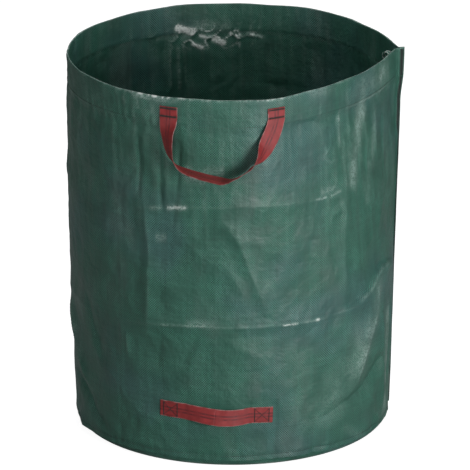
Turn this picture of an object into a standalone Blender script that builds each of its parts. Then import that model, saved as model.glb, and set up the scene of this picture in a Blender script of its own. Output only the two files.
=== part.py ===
"""Round garden leaf bag of woven plastic cloth, held open by a springy strip in its hem.

Metres, +Z up. The origin is the centre of the base's underside. The front, where the lower
handle is, faces -Y, and the upright seam of the side wall is near +X.
"""
from math import atan2, cos, pi, radians, sin

import bmesh
import bpy
from mathutils import Matrix, Vector

# Bag
BAG_HEIGHT = 0.780
RIM_RADIUS = 0.335
BASE_RADIUS = 0.3195
STRAIGHT_ABOVE = 0.650      # the wall stops widening at this height
TAPER_POWER = 0.8
CLOTH = 0.001               # thickness of the laminated cloth
SEAT_GAP = 0.0003           # gap between pieces that touch
BASE_CORNER = 0.020         # radius between the base and the wall
BASE_UPSTAND = 0.034        # the base cloth's turned-up edge reaches this height
WALL_FOOT = 0.0165          # the wall's lower edge

# Hem and the strip inside it
HEM_DEPTH = 0.060
HOOP_THICKNESS = 0.0015
HOOP_WIDTH = 0.050
HOOP_END_ANGLE = 3.0        # each end of the strip stops this far from the seam, in degrees

# Side seam: both edges of the wall cloth turned out and sewn together
SEAM_ANGLE = 7.4
FLANGE_TOP = 0.0115
FLANGE_LOW = 0.0040
FLANGE_FULL_ABOVE = 0.610
FLANGE_LOW_BELOW = 0.480
FLANGE_FILLET = 0.0010

# The strip's ends draw the mouth in beside the seam, which fades out down the wall
PINCH_PEAK = 0.003
PINCH_NEAR_DEPTH = 0.035
PINCH_NEAR_SPAN = 90.0
PINCH_FAR_DEPTH = 0.008
PINCH_FAR_SPAN = 60.0
PINCH_SKEW = 0.8            # the hollow is steeper towards the seam
PINCH_RUN_OUT = 0.25        # and runs out into the round over this share of its span
PINCH_FADE_BELOW = 0.250

# Webbing
WEB_WIDTH = 0.038
WEB_THICKNESS = 0.0015
LOWER_WEB_WIDTH = 0.034
HANDLE_SPREAD = 0.218       # between the middles of an upper handle's ends, along the wall
HANDLE_BELOW_RIM = 0.0195
UPPER_END_LENGTH = 0.024
LOOP_DROP = 0.117           # from the sewn ends down to the hanging loop's lowest point
LOOP_TWIST = 80.0           # the webbing turns on edge by this much at the bottom of the loop
LOOP_FLAT_LENGTH = 0.045    # flat this far, so that the loop swings up past the hem
LOOP_TWIST_LENGTH = 0.060
LOOP_WALL_CLEARANCE = 0.002
LOOP_LIFT_LENGTH = 0.012    # it comes clear of the wall and the hem's thread within this length
LOWER_HANDLE_ANGLE = -92.6
LOWER_HANDLE_HEIGHT = 0.117
LOWER_HANDLE_LENGTH = 0.228
LOWER_END_LENGTH = 0.044
LOWER_HANDLE_TILT = 1.8     # it is sewn on a little out of level, in degrees
LOWER_BOW = 0.010           # the middle stands this far off the wall

# Thread
THREAD = 0.0008
HEM_THREAD_ABOVE_EDGE = 0.0035
BASE_THREAD_HEIGHT = 0.0265
SEAM_THREAD_INSET = 0.0015
BOX_MARGIN = 0.0035         # from a webbing end's edges to its box of stitches

STEP = 5                    # degrees between columns of the cloth
MERGE = 1e-6                # points closer than this are one
LOOP_ROWS = 32
LOWER_ROWS = 12

CLOTH_GREEN = (0.050, 0.125, 0.095)
HOOP_BLACK = (0.030, 0.032, 0.034)
WEB_RED = (0.230, 0.022, 0.024)
THREAD_DARK = (0.020, 0.030, 0.028)


def clear_scene():
    for thing in list(bpy.data.objects):
        bpy.data.objects.remove(thing, do_unlink=True)


def finish(name, colour, roughness):
    material = bpy.data.materials.get(name) or bpy.data.materials.new(name)
    material.use_nodes = True
    shader = material.node_tree.nodes["Principled BSDF"]
    shader.inputs["Base Color"].default_value = (*colour, 1.0)
    shader.inputs["Roughness"].default_value = roughness
    shader.inputs["Metallic"].default_value = 0.0
    material.diffuse_color = (*colour, 1.0)
    return material


def ramp(value, low, high):
    """0 below low, 1 above high, and smooth between them."""
    t = min(max((value - low) / (high - low), 0.0), 1.0)
    return t * t * (3.0 - 2.0 * t)


def bag_radius(height):
    """Outside radius of the wall, which widens gently from the base to the hem."""
    t = min(max(height / STRAIGHT_ABOVE, 0.0), 1.0)
    return BASE_RADIUS + (RIM_RADIUS - BASE_RADIUS) * t ** TAPER_POWER


def from_seam(angle):
    """Degrees from the side seam to a compass angle, from -180 to 180."""
    return (angle - SEAM_ANGLE + 180.0) % 360.0 - 180.0


def pinch(angle, height):
    """How far the mouth's outline stands out of the round, beside the seam."""
    off = from_seam(angle)
    span, depth = (PINCH_NEAR_SPAN, PINCH_NEAR_DEPTH) if off < 0 else (PINCH_FAR_SPAN, PINCH_FAR_DEPTH)
    reach = min(abs(off) / span, 1.0)
    hollow = sin(pi * reach ** PINCH_SKEW) * ramp(1.0 - reach, 0.0, PINCH_RUN_OUT)
    peak = PINCH_PEAK * max(1.0 - abs(off) / (2 * STEP), 0.0)
    return (peak - depth * hollow) * ramp(height, PINCH_FADE_BELOW, BAG_HEIGHT)


def wall_point(angle, out, height):
    """A point that stands out from the wall's outer face at a compass angle."""
    reach = bag_radius(height) + pinch(angle, height) + out
    return Vector((reach * cos(radians(angle)), reach * sin(radians(angle)), height))


def wall_frame(angle, height):
    """The wall's directions at a place on it: along it, anticlockwise, and square out of it."""
    along = wall_point(angle + 1, 0.0, height) - wall_point(angle - 1, 0.0, height)
    slope = wall_point(angle, 0.0, height + WALL_FOOT) - wall_point(angle, 0.0, height - WALL_FOOT)
    return along.normalized(), along.cross(slope).normalized()


def flange_width(height):
    return FLANGE_LOW + (FLANGE_TOP - FLANGE_LOW) * ramp(height, FLANGE_LOW_BELOW, FLANGE_FULL_ABOVE)


def seam_point(side, half, turn, depth, height, width=None):
    """A point of the seam's flange, on one side of the seam plane.

    depth is measured in from the cloth's outer face, half is the flange's half thickness, and
    turn goes from 0 at the wall to 90 where the cloth runs straight out to the flange's edge.
    """
    radius = bag_radius(height) + pinch(SEAM_ANGLE, height)
    bend = radians(turn)
    reach = radius + FLANGE_FILLET - (FLANGE_FILLET + depth) * cos(bend)
    across = half + FLANGE_FILLET - (FLANGE_FILLET + depth) * sin(bend)
    if width is not None:
        reach = radius + width
    outward = Vector((cos(radians(SEAM_ANGLE)), sin(radians(SEAM_ANGLE)), 0.0))
    sideways = Vector((-outward.y, outward.x, 0.0)) * side
    place = outward * reach + sideways * across
    place.z = height
    return place


def cloth_stations():
    """Where the columns of a cloth band lie, from one edge of the seam round to the other."""
    flange = [("tip", 0), ("fillet", 90), ("fillet", 45), ("fillet", 0)]
    start = [(kind, -1, turn) for kind, turn in flange]
    around = [("wall", 0, -STEP * k / 2) for k in (1, 2)]
    around += [("wall", 0, -STEP * k) for k in range(2, 360 // STEP)]
    end = [(kind, 1, turn) for kind, turn in reversed(flange)]
    last = ("wall", 0, -360 + STEP / 2)
    return start + around + [last] + end


def cloth_point(station, depth, height, half):
    """A point of the cloth at a station, at a depth in from its outer face."""
    kind, side, value = station
    if kind == "wall":
        return wall_point(SEAM_ANGLE + value, -depth, height)
    if kind == "tip":
        return seam_point(side, half, 90, depth, height, flange_width(height))
    return seam_point(side, half, value, depth, height)


def bent_sheet(name, columns, rows, place, thickness, material, weld=0.0):
    """A grid whose points are set by place(column, row), thickened evenly to both sides."""
    sheet = bmesh.new()
    bmesh.ops.create_grid(sheet, x_segments=columns - 1, y_segments=rows - 1, size=0.5)
    for vertex in sheet.verts:
        column = round((vertex.co.x + 0.5) * (columns - 1))
        row = round((vertex.co.y + 0.5) * (rows - 1))
        vertex.co = place(column, row)
    if weld:
        bmesh.ops.remove_doubles(sheet, verts=sheet.verts, dist=weld)
    bmesh.ops.recalc_face_normals(sheet, faces=sheet.faces)
    mesh = bpy.data.meshes.new(name)
    sheet.to_mesh(mesh)
    sheet.free()
    mesh.materials.append(material)
    mesh.shade_smooth()
    piece = bpy.data.objects.new(name, mesh)
    bpy.context.collection.objects.link(piece)
    solid = piece.modifiers.new("Thickness", "SOLIDIFY")
    solid.thickness = thickness
    solid.offset = 0.0
    solid.use_even_offset = True
    return piece


def level_heights(low, high, count):
    return [low + (high - low) * k / (count - 1) for k in range(count)]


def make_wall(cloth):
    """The side wall: one sheet bent round, with its two edges turned out as the seam's flange."""
    stations = cloth_stations()
    half = SEAT_GAP / 2 + CLOTH
    heights = [WALL_FOOT] + level_heights(BASE_UPSTAND, FLANGE_LOW_BELOW, 5)
    heights += level_heights(FLANGE_LOW_BELOW, BAG_HEIGHT - HEM_DEPTH - SEAT_GAP, 5)[1:]

    def place(column, row):
        return cloth_point(stations[column], CLOTH / 2, heights[row], half)

    return bent_sheet("wall_panel", len(stations), len(heights), place, CLOTH, cloth)


def hem_section(plies):
    """The hem's folded cloth in section, as (depth, height) of its middle, up, over and down."""
    low = BAG_HEIGHT - HEM_DEPTH + CLOTH / 2
    fold = plies / 2
    high = BAG_HEIGHT - CLOTH / 2 - fold
    outer = CLOTH / 2
    arch = []
    for turn in (0, 45, 90, 135, 180):
        swing = radians(turn)
        arch.append((outer + fold * (1 - cos(swing)), high + fold * sin(swing)))
    return [(outer, low)] + arch + [(outer + plies, low)]


def make_hem(cloth):
    """The hem: the wall's top folded into a flat tunnel, which is open at both its ends."""
    stations = cloth_stations()
    sewn_flat = CLOTH + SEAT_GAP
    tunnel = hem_section(CLOTH + HOOP_THICKNESS + 2 * SEAT_GAP)
    closed = hem_section(sewn_flat)
    half = SEAT_GAP / 2 + CLOTH + sewn_flat

    def place(column, row):
        section = tunnel if stations[column][0] == "wall" else closed
        depth, height = section[row % len(section)]
        return cloth_point(stations[column], depth, height, half)

    return bent_sheet("rim_hem", len(stations), len(tunnel) + 1, place, CLOTH, cloth, MERGE)


def make_hoop(plastic):
    """The springy strip: it lies in the hem's tunnel, and its ends meet beside the seam."""
    last = 360.0 - HOOP_END_ANGLE
    turns = [HOOP_END_ANGLE] + [STEP * k for k in range(1, 360 // STEP)] + [last]
    middle = BAG_HEIGHT - HEM_DEPTH / 2
    heights = (middle - HOOP_WIDTH / 2, middle + HOOP_WIDTH / 2)
    depth = CLOTH + SEAT_GAP + HOOP_THICKNESS / 2

    def place(column, row):
        return wall_point(SEAM_ANGLE - turns[column], -depth, heights[row])

    return bent_sheet("rim_hoop", len(turns), 2, place, HOOP_THICKNESS, plastic)


def base_section():
    """The base cloth in section, as (radius, height) of its middle, from the centre outwards."""
    inset = CLOTH + SEAT_GAP + CLOTH / 2
    bend = BASE_CORNER - CLOTH / 2
    flat = bag_radius(BASE_CORNER) - inset - bend
    points = [(0.0, CLOTH / 2), (flat / 2, CLOTH / 2)]
    for turn in (0, 30, 60, 90):
        swing = radians(turn)
        points.append((flat + bend * sin(swing), BASE_CORNER - bend * cos(swing)))
    return points + [(bag_radius(BASE_UPSTAND) - inset, BASE_UPSTAND)]


def make_base(cloth):
    """The round base, with its edge turned up inside the wall."""
    section = base_section()

    def place(column, row):
        radius, height = section[row]
        angle = radians(SEAM_ANGLE - STEP * column)
        return Vector((radius * cos(angle), radius * sin(angle), height))

    return bent_sheet("base_panel", 360 // STEP + 1, len(section), place, CLOTH, cloth, MERGE)


def bezier(a, b, c, d, t):
    s = 1.0 - t
    return a * s ** 3 + b * 3 * s * s * t + c * 3 * s * t * t + d * t ** 3


def loop_line():
    """The hanging loop's middle line, as (distance along the wall, height), from end to end."""
    half = HANDLE_SPREAD / 2
    top = BAG_HEIGHT - HANDLE_BELOW_RIM - UPPER_END_LENGTH - SEAT_GAP
    low = top - LOOP_DROP
    left = [Vector(p) for p in ((-half, top), (0.005 - half, low + 0.023),
                                (0.011 - half, low + 0.024), (-0.003, low + 0.0025))]
    right = [Vector(p) for p in ((-0.003, low + 0.0025), (0.032, low - 0.0055),
                                 (half - 0.024, low + 0.046), (half, top))]
    count = LOOP_ROWS // 2
    points = [bezier(*left, k / count) for k in range(count)]
    return points + [bezier(*right, k / count) for k in range(count + 1)]


def handle_angle_at(handle_angle, along):
    """The compass angle a distance along the wall from a handle's middle."""
    return handle_angle + along / RIM_RADIUS * 180 / pi


def make_loop(name, handle_angle, webbing):
    """The free webbing of an upper handle: flat at its ends and turned on edge at the bottom."""
    line = loop_line()
    reach = [0.0]
    for before, after in zip(line, line[1:]):
        reach.append(reach[-1] + (after - before).length)
    centres = []
    outwards = []
    twists = []
    for point, run in zip(line, reach):
        run = min(run, reach[-1] - run)
        twist = radians(LOOP_TWIST) * ramp(run - LOOP_FLAT_LENGTH, 0.0, LOOP_TWIST_LENGTH)
        out = SEAT_GAP + WEB_THICKNESS / 2 + WEB_WIDTH / 2 * sin(twist)
        out += LOOP_WALL_CLEARANCE * ramp(run, 0.0, LOOP_LIFT_LENGTH)
        angle = handle_angle_at(handle_angle, point.x)
        outward = wall_frame(angle, point.y)[1]
        centres.append(wall_point(angle, 0.0, point.y) + outward * out)
        outwards.append(outward)
        twists.append(twist)
    last = len(centres) - 1

    def place(column, row):
        along = (centres[min(row + 1, last)] - centres[max(row - 1, 0)]).normalized()
        if row in (0, last):
            along = Vector((0, 0, -1.0 if row == 0 else 1.0))
        inward = outwards[row].cross(along).normalized()
        across = inward * cos(twists[row]) + outwards[row] * sin(twists[row])
        return centres[row] + across * WEB_WIDTH * (column / 2 - 0.5)

    return bent_sheet(name, 3, len(centres), place, WEB_THICKNESS, webbing)


def make_upper_end(name, handle_angle, along, webbing):
    """A sewn end of an upper handle, flat on the hem."""
    top = BAG_HEIGHT - HANDLE_BELOW_RIM

    def place(column, row):
        across = along + WEB_WIDTH * (column / 4 - 0.5)
        height = top - UPPER_END_LENGTH * (1 - row)
        angle = handle_angle_at(handle_angle, across)
        return wall_point(angle, SEAT_GAP + WEB_THICKNESS / 2, height)

    return bent_sheet(name, 5, 2, place, WEB_THICKNESS, webbing)


def lower_point(along, up, out):
    """A point of the lower handle, which is sewn on a little out of level."""
    tilt = radians(LOWER_HANDLE_TILT)
    height = LOWER_HANDLE_HEIGHT - along * sin(tilt) + up * cos(tilt)
    turn = (along * cos(tilt) + up * sin(tilt)) / BASE_RADIUS * 180 / pi
    return wall_point(LOWER_HANDLE_ANGLE + turn, out, height)


def make_lower_end(name, side, webbing):
    """A sewn end of the lower handle, flat on the wall."""
    outer = LOWER_HANDLE_LENGTH / 2

    def place(column, row):
        along = side * (outer - LOWER_END_LENGTH * column / 4)
        return lower_point(along, LOWER_WEB_WIDTH * (row - 0.5), SEAT_GAP + WEB_THICKNESS / 2)

    return bent_sheet(name, 5, 2, place, WEB_THICKNESS, webbing)


def make_lower_strap(webbing):
    """The lower handle's free webbing, which bows off the wall so that fingers go behind it."""
    half = LOWER_HANDLE_LENGTH / 2 - LOWER_END_LENGTH - SEAT_GAP

    def place(column, row):
        share = column / LOWER_ROWS
        bow = LOWER_BOW * (1 - cos(2 * pi * share)) / 2
        out = SEAT_GAP + WEB_THICKNESS / 2 + bow
        return lower_point(half * (2 * share - 1), LOWER_WEB_WIDTH * (row - 0.5), out)

    return bent_sheet("lower_handle_strap", LOWER_ROWS + 1, 2, place, WEB_THICKNESS, webbing)


def make_ring_thread(name, height, thread):
    """The thread of a seam that runs round the bag, on the outer face of the cloth."""
    turns = [STEP / 2] + [STEP * k for k in range(1, 360 // STEP)] + [360 - STEP / 2]
    out = SEAT_GAP + THREAD / 2

    def place(column, row):
        return wall_point(SEAM_ANGLE - turns[column], out, height + THREAD * (row - 0.5))

    return bent_sheet(name, len(turns), 2, place, THREAD, thread)


def make_seam_thread(thread):
    """The side seam's thread, up the front face of the flange."""
    heights = level_heights(BASE_UPSTAND, FLANGE_LOW_BELOW, 4)
    heights += level_heights(FLANGE_LOW_BELOW, BAG_HEIGHT - HEM_DEPTH - SEAT_GAP, 5)[1:]
    half = SEAT_GAP / 2 + CLOTH + SEAT_GAP + THREAD / 2
    inner = FLANGE_FILLET + SEAM_THREAD_INSET - THREAD / 2

    def place(column, row):
        return seam_point(-1, half, 90, 0.0, heights[row], inner + THREAD * column)

    return bent_sheet("side_seam_stitching", 2, len(heights), place, THREAD, thread)


def thread_bar(name, start, end):
    """A square bar of thread between two points of the XY plane."""
    run = end - start
    mesh = bpy.data.meshes.new(name)
    bar = bmesh.new()
    bmesh.ops.create_cube(bar, size=1.0)
    bmesh.ops.scale(bar, verts=bar.verts, vec=(run.length + THREAD, THREAD, THREAD))
    turn = Vector((1, 0, 0)).rotation_difference(run.normalized()).to_matrix()
    bmesh.ops.rotate(bar, verts=bar.verts, matrix=turn, cent=(0, 0, 0))
    bmesh.ops.translate(bar, verts=bar.verts, vec=(start + end) / 2)
    bar.to_mesh(mesh)
    bar.free()
    piece = bpy.data.objects.new(name, mesh)
    bpy.context.collection.objects.link(piece)
    return piece


def make_box_stitch(name, width, height, frame, thread):
    """Crossed box stitching: the four sides and both diagonals, as one piece of thread."""
    x = width / 2 - BOX_MARGIN
    y = height / 2 - BOX_MARGIN
    corners = [Vector(p) for p in ((-x, -y, 0), (x, -y, 0), (x, y, 0), (-x, y, 0))]
    runs = [(0, 1), (1, 2), (2, 3), (3, 0), (0, 2), (1, 3)]
    piece = thread_bar(name, corners[0], corners[1])
    piece.data.materials.append(thread)
    for number, (a, b) in enumerate(runs[1:]):
        bar = thread_bar(f"{name}_bar_{number}", corners[a], corners[b])
        bar.hide_render = True
        bar.display_type = "WIRE"
        join = piece.modifiers.new("Join", "BOOLEAN")
        join.operation = "UNION"
        join.solver = "EXACT"
        join.object = bar
        bar.matrix_world = frame
    piece.matrix_world = frame
    return piece


def frame_on_wall(angle, height, out, tilt=0.0):
    """A frame standing on the wall: X along it, Y up its slope and Z outwards."""
    along, outward = wall_frame(angle, height)
    turn = Matrix((along, outward.cross(along), outward)).transposed()
    tilted = turn @ Matrix.Rotation(-radians(tilt), 3, "Z")
    place = wall_point(angle, 0.0, height) + outward * out
    return Matrix.Translation(place) @ tilted.to_4x4()


def make_upper_handle(label, handle_angle, webbing, thread):
    """One upper handle: two sewn ends on the hem, their stitches and the hanging loop."""
    lift = SEAT_GAP + WEB_THICKNESS + SEAT_GAP + THREAD / 2
    middle = BAG_HEIGHT - HANDLE_BELOW_RIM - UPPER_END_LENGTH / 2
    for side, along in (("left", -HANDLE_SPREAD / 2), ("right", HANDLE_SPREAD / 2)):
        make_upper_end(f"upper_handle_{label}_{side}_end", handle_angle, along, webbing)
        angle = handle_angle_at(handle_angle, along)
        frame = frame_on_wall(angle, middle, lift)
        name = f"upper_handle_{label}_{side}_stitching"
        make_box_stitch(name, WEB_WIDTH, UPPER_END_LENGTH, frame, thread)
    make_loop(f"upper_handle_{label}_loop", handle_angle, webbing)


def make_lower_handle(webbing, thread):
    """The lower handle: two sewn ends on the wall, their stitches and the bowed grip."""
    lift = SEAT_GAP + WEB_THICKNESS + SEAT_GAP + THREAD / 2
    middle = LOWER_HANDLE_LENGTH / 2 - LOWER_END_LENGTH / 2
    for side, sign in (("left", -1), ("right", 1)):
        make_lower_end(f"lower_handle_{side}_end", sign, webbing)
        centre = lower_point(sign * middle, 0.0, 0.0)
        angle = atan2(centre.y, centre.x) * 180 / pi
        frame = frame_on_wall(angle, centre.z, lift, LOWER_HANDLE_TILT)
        make_box_stitch(f"lower_handle_{side}_stitching", LOWER_END_LENGTH, LOWER_WEB_WIDTH, frame, thread)
    make_lower_strap(webbing)


def main():
    clear_scene()
    cloth = finish("cloth", CLOTH_GREEN, 0.45)
    plastic = finish("hoop", HOOP_BLACK, 0.40)
    webbing = finish("webbing", WEB_RED, 0.75)
    thread = finish("thread", THREAD_DARK, 0.60)
    make_wall(cloth)
    make_base(cloth)
    make_hem(cloth)
    make_hoop(plastic)
    make_upper_handle("front", -90.0, webbing, thread)
    make_upper_handle("back", 90.0, webbing, thread)
    make_lower_handle(webbing, thread)
    make_ring_thread("hem_stitching", BAG_HEIGHT - HEM_DEPTH + HEM_THREAD_ABOVE_EDGE, thread)
    make_ring_thread("base_seam_stitching", BASE_THREAD_HEIGHT, thread)
    make_seam_thread(thread)


main()
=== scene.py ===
# %% [markdown]
# This lesson dresses a round garden leaf bag. The real bag is one wide band of woven plastic
# cloth, sewn into a tube with a round base, and a springy strip in the hem holds its mouth open.
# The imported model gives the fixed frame: its solids keep their places, and each new piece made
# here either stands for one or more of them or is added to them.

# %% Load the fixed frame
from math import cos, pi, radians, sin

import bmesh
import bpy
import numpy as np
from mathutils import Matrix, Vector


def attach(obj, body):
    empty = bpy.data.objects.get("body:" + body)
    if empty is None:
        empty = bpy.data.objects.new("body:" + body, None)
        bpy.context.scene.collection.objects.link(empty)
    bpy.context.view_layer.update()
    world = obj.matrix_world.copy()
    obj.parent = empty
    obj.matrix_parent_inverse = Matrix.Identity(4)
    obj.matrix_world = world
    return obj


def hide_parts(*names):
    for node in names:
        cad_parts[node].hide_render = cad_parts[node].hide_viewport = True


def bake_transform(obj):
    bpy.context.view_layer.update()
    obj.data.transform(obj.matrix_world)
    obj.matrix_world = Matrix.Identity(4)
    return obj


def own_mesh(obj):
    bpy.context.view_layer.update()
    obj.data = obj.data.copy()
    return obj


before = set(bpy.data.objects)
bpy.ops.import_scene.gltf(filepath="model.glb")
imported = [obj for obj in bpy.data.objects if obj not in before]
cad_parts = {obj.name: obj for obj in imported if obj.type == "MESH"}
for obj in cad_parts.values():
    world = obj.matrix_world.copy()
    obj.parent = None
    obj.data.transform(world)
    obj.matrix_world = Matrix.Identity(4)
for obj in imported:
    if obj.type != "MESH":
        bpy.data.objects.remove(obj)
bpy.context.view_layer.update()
print("nodes in the frame:", len(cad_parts))

# %% [markdown]
# A product photograph is taken with a long lens from far away, which keeps the upright walls
# nearly parallel. So the camera stands 12 m off with a narrow view, a little right of the
# middle, and looks 19 degrees down. It aims at a height on the bag's axis, a little to the right.

# %% Camera
CAMERA_TURN = 3.4
CAMERA_RISE = 18.99
CAMERA_AWAY = 12.0
CAMERA_LENS = 450.2
SENSOR_WIDTH = 36.0
FARTHEST_SEEN = 200.0
AIM_HEIGHT = 0.386
AIM_RIGHT = 0.0053


def compass(turn, rise, away):
    """A point away metres off, turned right of the front and raised, both in degrees."""
    turn, rise = radians(turn), radians(rise)
    return Vector((sin(turn) * cos(rise), -cos(turn) * cos(rise), sin(rise))) * away


def add_object(name, data):
    thing = bpy.data.objects.new(name, data)
    bpy.context.collection.objects.link(thing)
    return thing


camera_data = bpy.data.cameras.new("camera")
camera_data.lens = CAMERA_LENS
camera_data.sensor_width = SENSOR_WIDTH
camera_data.clip_end = FARTHEST_SEEN
camera = add_object("camera", camera_data)
right = Vector((cos(radians(CAMERA_TURN)), sin(radians(CAMERA_TURN)), 0.0))
aim = Vector((0.0, 0.0, AIM_HEIGHT)) + right * AIM_RIGHT
back = compass(CAMERA_TURN, CAMERA_RISE, 1.0)
camera.location = aim + back * CAMERA_AWAY
camera.rotation_euler = back.to_track_quat("Z", "Y").to_euler()
bpy.context.scene.camera = camera
bpy.context.scene.view_settings.view_transform = "Standard"
print("camera stands at", [round(x, 3) for x in camera.location])

# %% [markdown]
# A material is a graph of nodes, and sums made of Math nodes are long to write one by one. This
# small class wraps a socket so that a sum written in Python, such as 1 - mask * 0.3, adds those
# nodes. Every other node comes from one method, add, which takes the node's type, its settings
# and what feeds its sockets.

# %% Shader sums written as Python


class Value:
    """A number that varies over a surface. Sums written with it become Math nodes."""

    def __init__(self, nodes, socket):
        self.nodes = nodes
        self.socket = socket

    def math(self, operation, *others):
        sockets = dict(enumerate((self, *others)))
        return self.nodes.add("ShaderNodeMath", {"operation": operation}, sockets)

    def __add__(self, other):
        return self.math("ADD", other)

    def __sub__(self, other):
        return self.math("SUBTRACT", other)

    def __mul__(self, other):
        return self.math("MULTIPLY", other)

    def __truediv__(self, other):
        return self.math("DIVIDE", other)

    def __mod__(self, other):
        return self.math("MODULO", other)

    def __pow__(self, other):
        return self.math("POWER", other)

    def __abs__(self):
        return self.math("ABSOLUTE")

    def __rsub__(self, other):
        return self * -1.0 + other

    __radd__ = __add__
    __rmul__ = __mul__

    def span(self, low, high):
        """0 below low, 1 above high, and smooth between them."""
        settings = {"interpolation_type": "SMOOTHSTEP"}
        return self.nodes.add("ShaderNodeMapRange", settings, {"Value": self, 1: low, 2: high})


# %% [markdown]
# The graph itself belongs to a material or to the world. Settings go first, because some of them,
# such as a Mix node's data type, decide which sockets the node has.

# %% A node graph with one way to add nodes


class Nodes:
    """The node graph of a material or of the world."""

    def __init__(self, tree):
        self.tree = tree

    def add(self, kind, settings=None, sockets=None, output=0):
        node = self.tree.nodes.new(kind)
        for name, setting in (settings or {}).items():
            setattr(node, name, setting)
        for name, value in (sockets or {}).items():
            self.feed(node.inputs[name], value)
        return Value(self, node.outputs[output])

    def feed(self, socket, value):
        if isinstance(value, Value):
            self.tree.links.new(value.socket, socket)
        else:
            socket.default_value = value

    def mix(self, factor, first, second, blend="MIX"):
        settings = {"data_type": "RGBA", "blend_type": blend}
        return self.add("ShaderNodeMix", settings, {0: factor, 6: first, 7: second}, output=2)

    def noise(self, place, scale, detail=2.0, stretch=(1.0, 1.0, 1.0)):
        """Smooth noise from 0 to 1 whose lumps are about 1 / scale metres across."""
        settings = {"vector_type": "POINT"}
        place = self.add("ShaderNodeMapping", settings, {"Vector": place, "Scale": stretch})
        return self.add("ShaderNodeTexNoise", None, {"Vector": place, "Scale": scale, "Detail": detail})

    def parts(self, place):
        """The first two numbers of a place."""
        return [self.add("ShaderNodeSeparateXYZ", None, {"Vector": place}, output=k) for k in (0, 1)]

    def show(self, shader, colour, roughness, relief, strength=1.0):
        """Feeds a Principled shader. The relief is a height in metres."""
        settings = {"Height": relief, "Distance": 1.0, "Strength": strength}
        self.feed(shader.inputs["Base Color"], colour)
        self.feed(shader.inputs["Roughness"], roughness)
        self.feed(shader.inputs["Normal"], self.add("ShaderNodeBump", None, settings))


def new_finish(name, roughness, coat=0.0, coat_roughness=0.3):
    """A material, its graph and its Principled shader, with the plain numbers set on it."""
    material = bpy.data.materials.new(name)
    material.use_nodes = True
    shader = material.node_tree.nodes["Principled BSDF"]
    shader.inputs["Roughness"].default_value = roughness
    shader.inputs["Coat Weight"].default_value = coat
    shader.inputs["Coat Roughness"].default_value = coat_roughness
    return material, Nodes(material.node_tree), shader


# %% [markdown]
# The studio is a wide pale floor and a pale world. Rays that come straight from the camera see
# both as white. The light that falls on the bag is much weaker than that, so the dark cloth keeps
# its colour, and the floor still takes the bag's soft shadow. The cloth is satin, not a mirror, so
# glossy rays see the plain world too: a white one would lie over its colour like a veil.

# %% Floor and world
FLOOR_DROP = 0.0006
FLOOR_HALF = 40.0
FLOOR_GREY = 0.40
FLOOR_GLOW = 0.93
WORLD_LIGHT = 0.09


def seen_plainly(nodes):
    """1 for a ray from the camera or through something clear, and 0 for the rest."""
    straight = nodes.add("ShaderNodeLightPath", output="Is Camera Ray")
    return straight.math("MAXIMUM", nodes.add("ShaderNodeLightPath", output="Is Transmission Ray"))


world = bpy.data.worlds.new("studio")
bpy.context.scene.world = world
world.use_nodes = True
sky = Nodes(world.node_tree)
seen = seen_plainly(sky)
backdrop = world.node_tree.nodes["Background"]
backdrop.inputs["Color"].default_value = (1.0, 1.0, 1.0, 1.0)
sky.feed(backdrop.inputs["Strength"], seen * (1.0 - WORLD_LIGHT) + WORLD_LIGHT)

floor_finish, floor_nodes, floor_shader = new_finish("floor", 1.0)
floor_shader.inputs["Base Color"].default_value = (FLOOR_GREY, FLOOR_GREY, FLOOR_GREY, 1.0)
floor_shader.inputs["Specular IOR Level"].default_value = 0.0
glow = floor_nodes.add("ShaderNodeEmission", None, {"Strength": seen_plainly(floor_nodes) * FLOOR_GLOW})
lit = floor_nodes.add("ShaderNodeAddShader", None, {0: Value(floor_nodes, floor_shader.outputs[0]), 1: glow})
floor_nodes.feed(floor_finish.node_tree.nodes["Material Output"].inputs["Surface"], lit)

floor_shape = bmesh.new()
bmesh.ops.create_grid(floor_shape, x_segments=1, y_segments=1, size=FLOOR_HALF)
bmesh.ops.translate(floor_shape, verts=floor_shape.verts, vec=(0, 0, -FLOOR_DROP))
floor_mesh = bpy.data.meshes.new("floor")
floor_shape.to_mesh(floor_mesh)
floor_shape.free()
floor_mesh.materials.append(floor_finish)
floor = add_object("floor", floor_mesh)
print("floor half width", FLOOR_HALF)

# %% [markdown]
# In the photograph the brightest cloth faces a little right of the camera, the left side falls
# dark, and the inside is lit only near the far rim. That asks for a large soft light on the right,
# so low that little of it gets over the near rim, a weak one on the left and two faint ones above.
# One behind the bag is there for the views from the back. The first two numbers are in degrees.

# %% Lamps


def soft_light(name, turn, rise, away, size, strength):
    """A square area light aimed at the bag. Its strength there is the same from any distance."""
    lamp = bpy.data.lights.new(name, "AREA")
    lamp.shape = "SQUARE"
    lamp.size = size
    lamp.energy = strength * pi * pi * away * away
    holder = add_object(name, lamp)
    direction = compass(turn, rise, 1.0)
    holder.location = Vector((0, 0, AIM_HEIGHT)) + direction * away
    holder.rotation_euler = direction.to_track_quat("Z", "Y").to_euler()
    print(name, "light at", [round(x, 2) for x in holder.location])


soft_light("key", turn=38.0, rise=8.0, away=3.2, size=1.1, strength=0.69)
soft_light("left_fill", turn=-42.0, rise=14.0, away=3.2, size=1.0, strength=0.115)
soft_light("front_high", turn=-4.0, rise=33.0, away=3.2, size=1.0, strength=0.065)
soft_light("overhead", turn=20.0, rise=72.0, away=3.0, size=1.4, strength=0.16)
soft_light("behind", turn=176.0, rise=48.0, away=3.2, size=1.3, strength=0.40)

# %% [markdown]
# Every piece lies on the cloth or in it, so each has to know where the wall is. These are the
# same sizes and the same outline as the solids have, written for whole arrays of places at once:
# a gentle taper, and a hollow in the mouth beside the seam where the strip's ends draw it in. Just
# below the hem the seam is also tucked in a little. An angle round the bag is in degrees, 0 at the
# right and -90 at the front.

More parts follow.
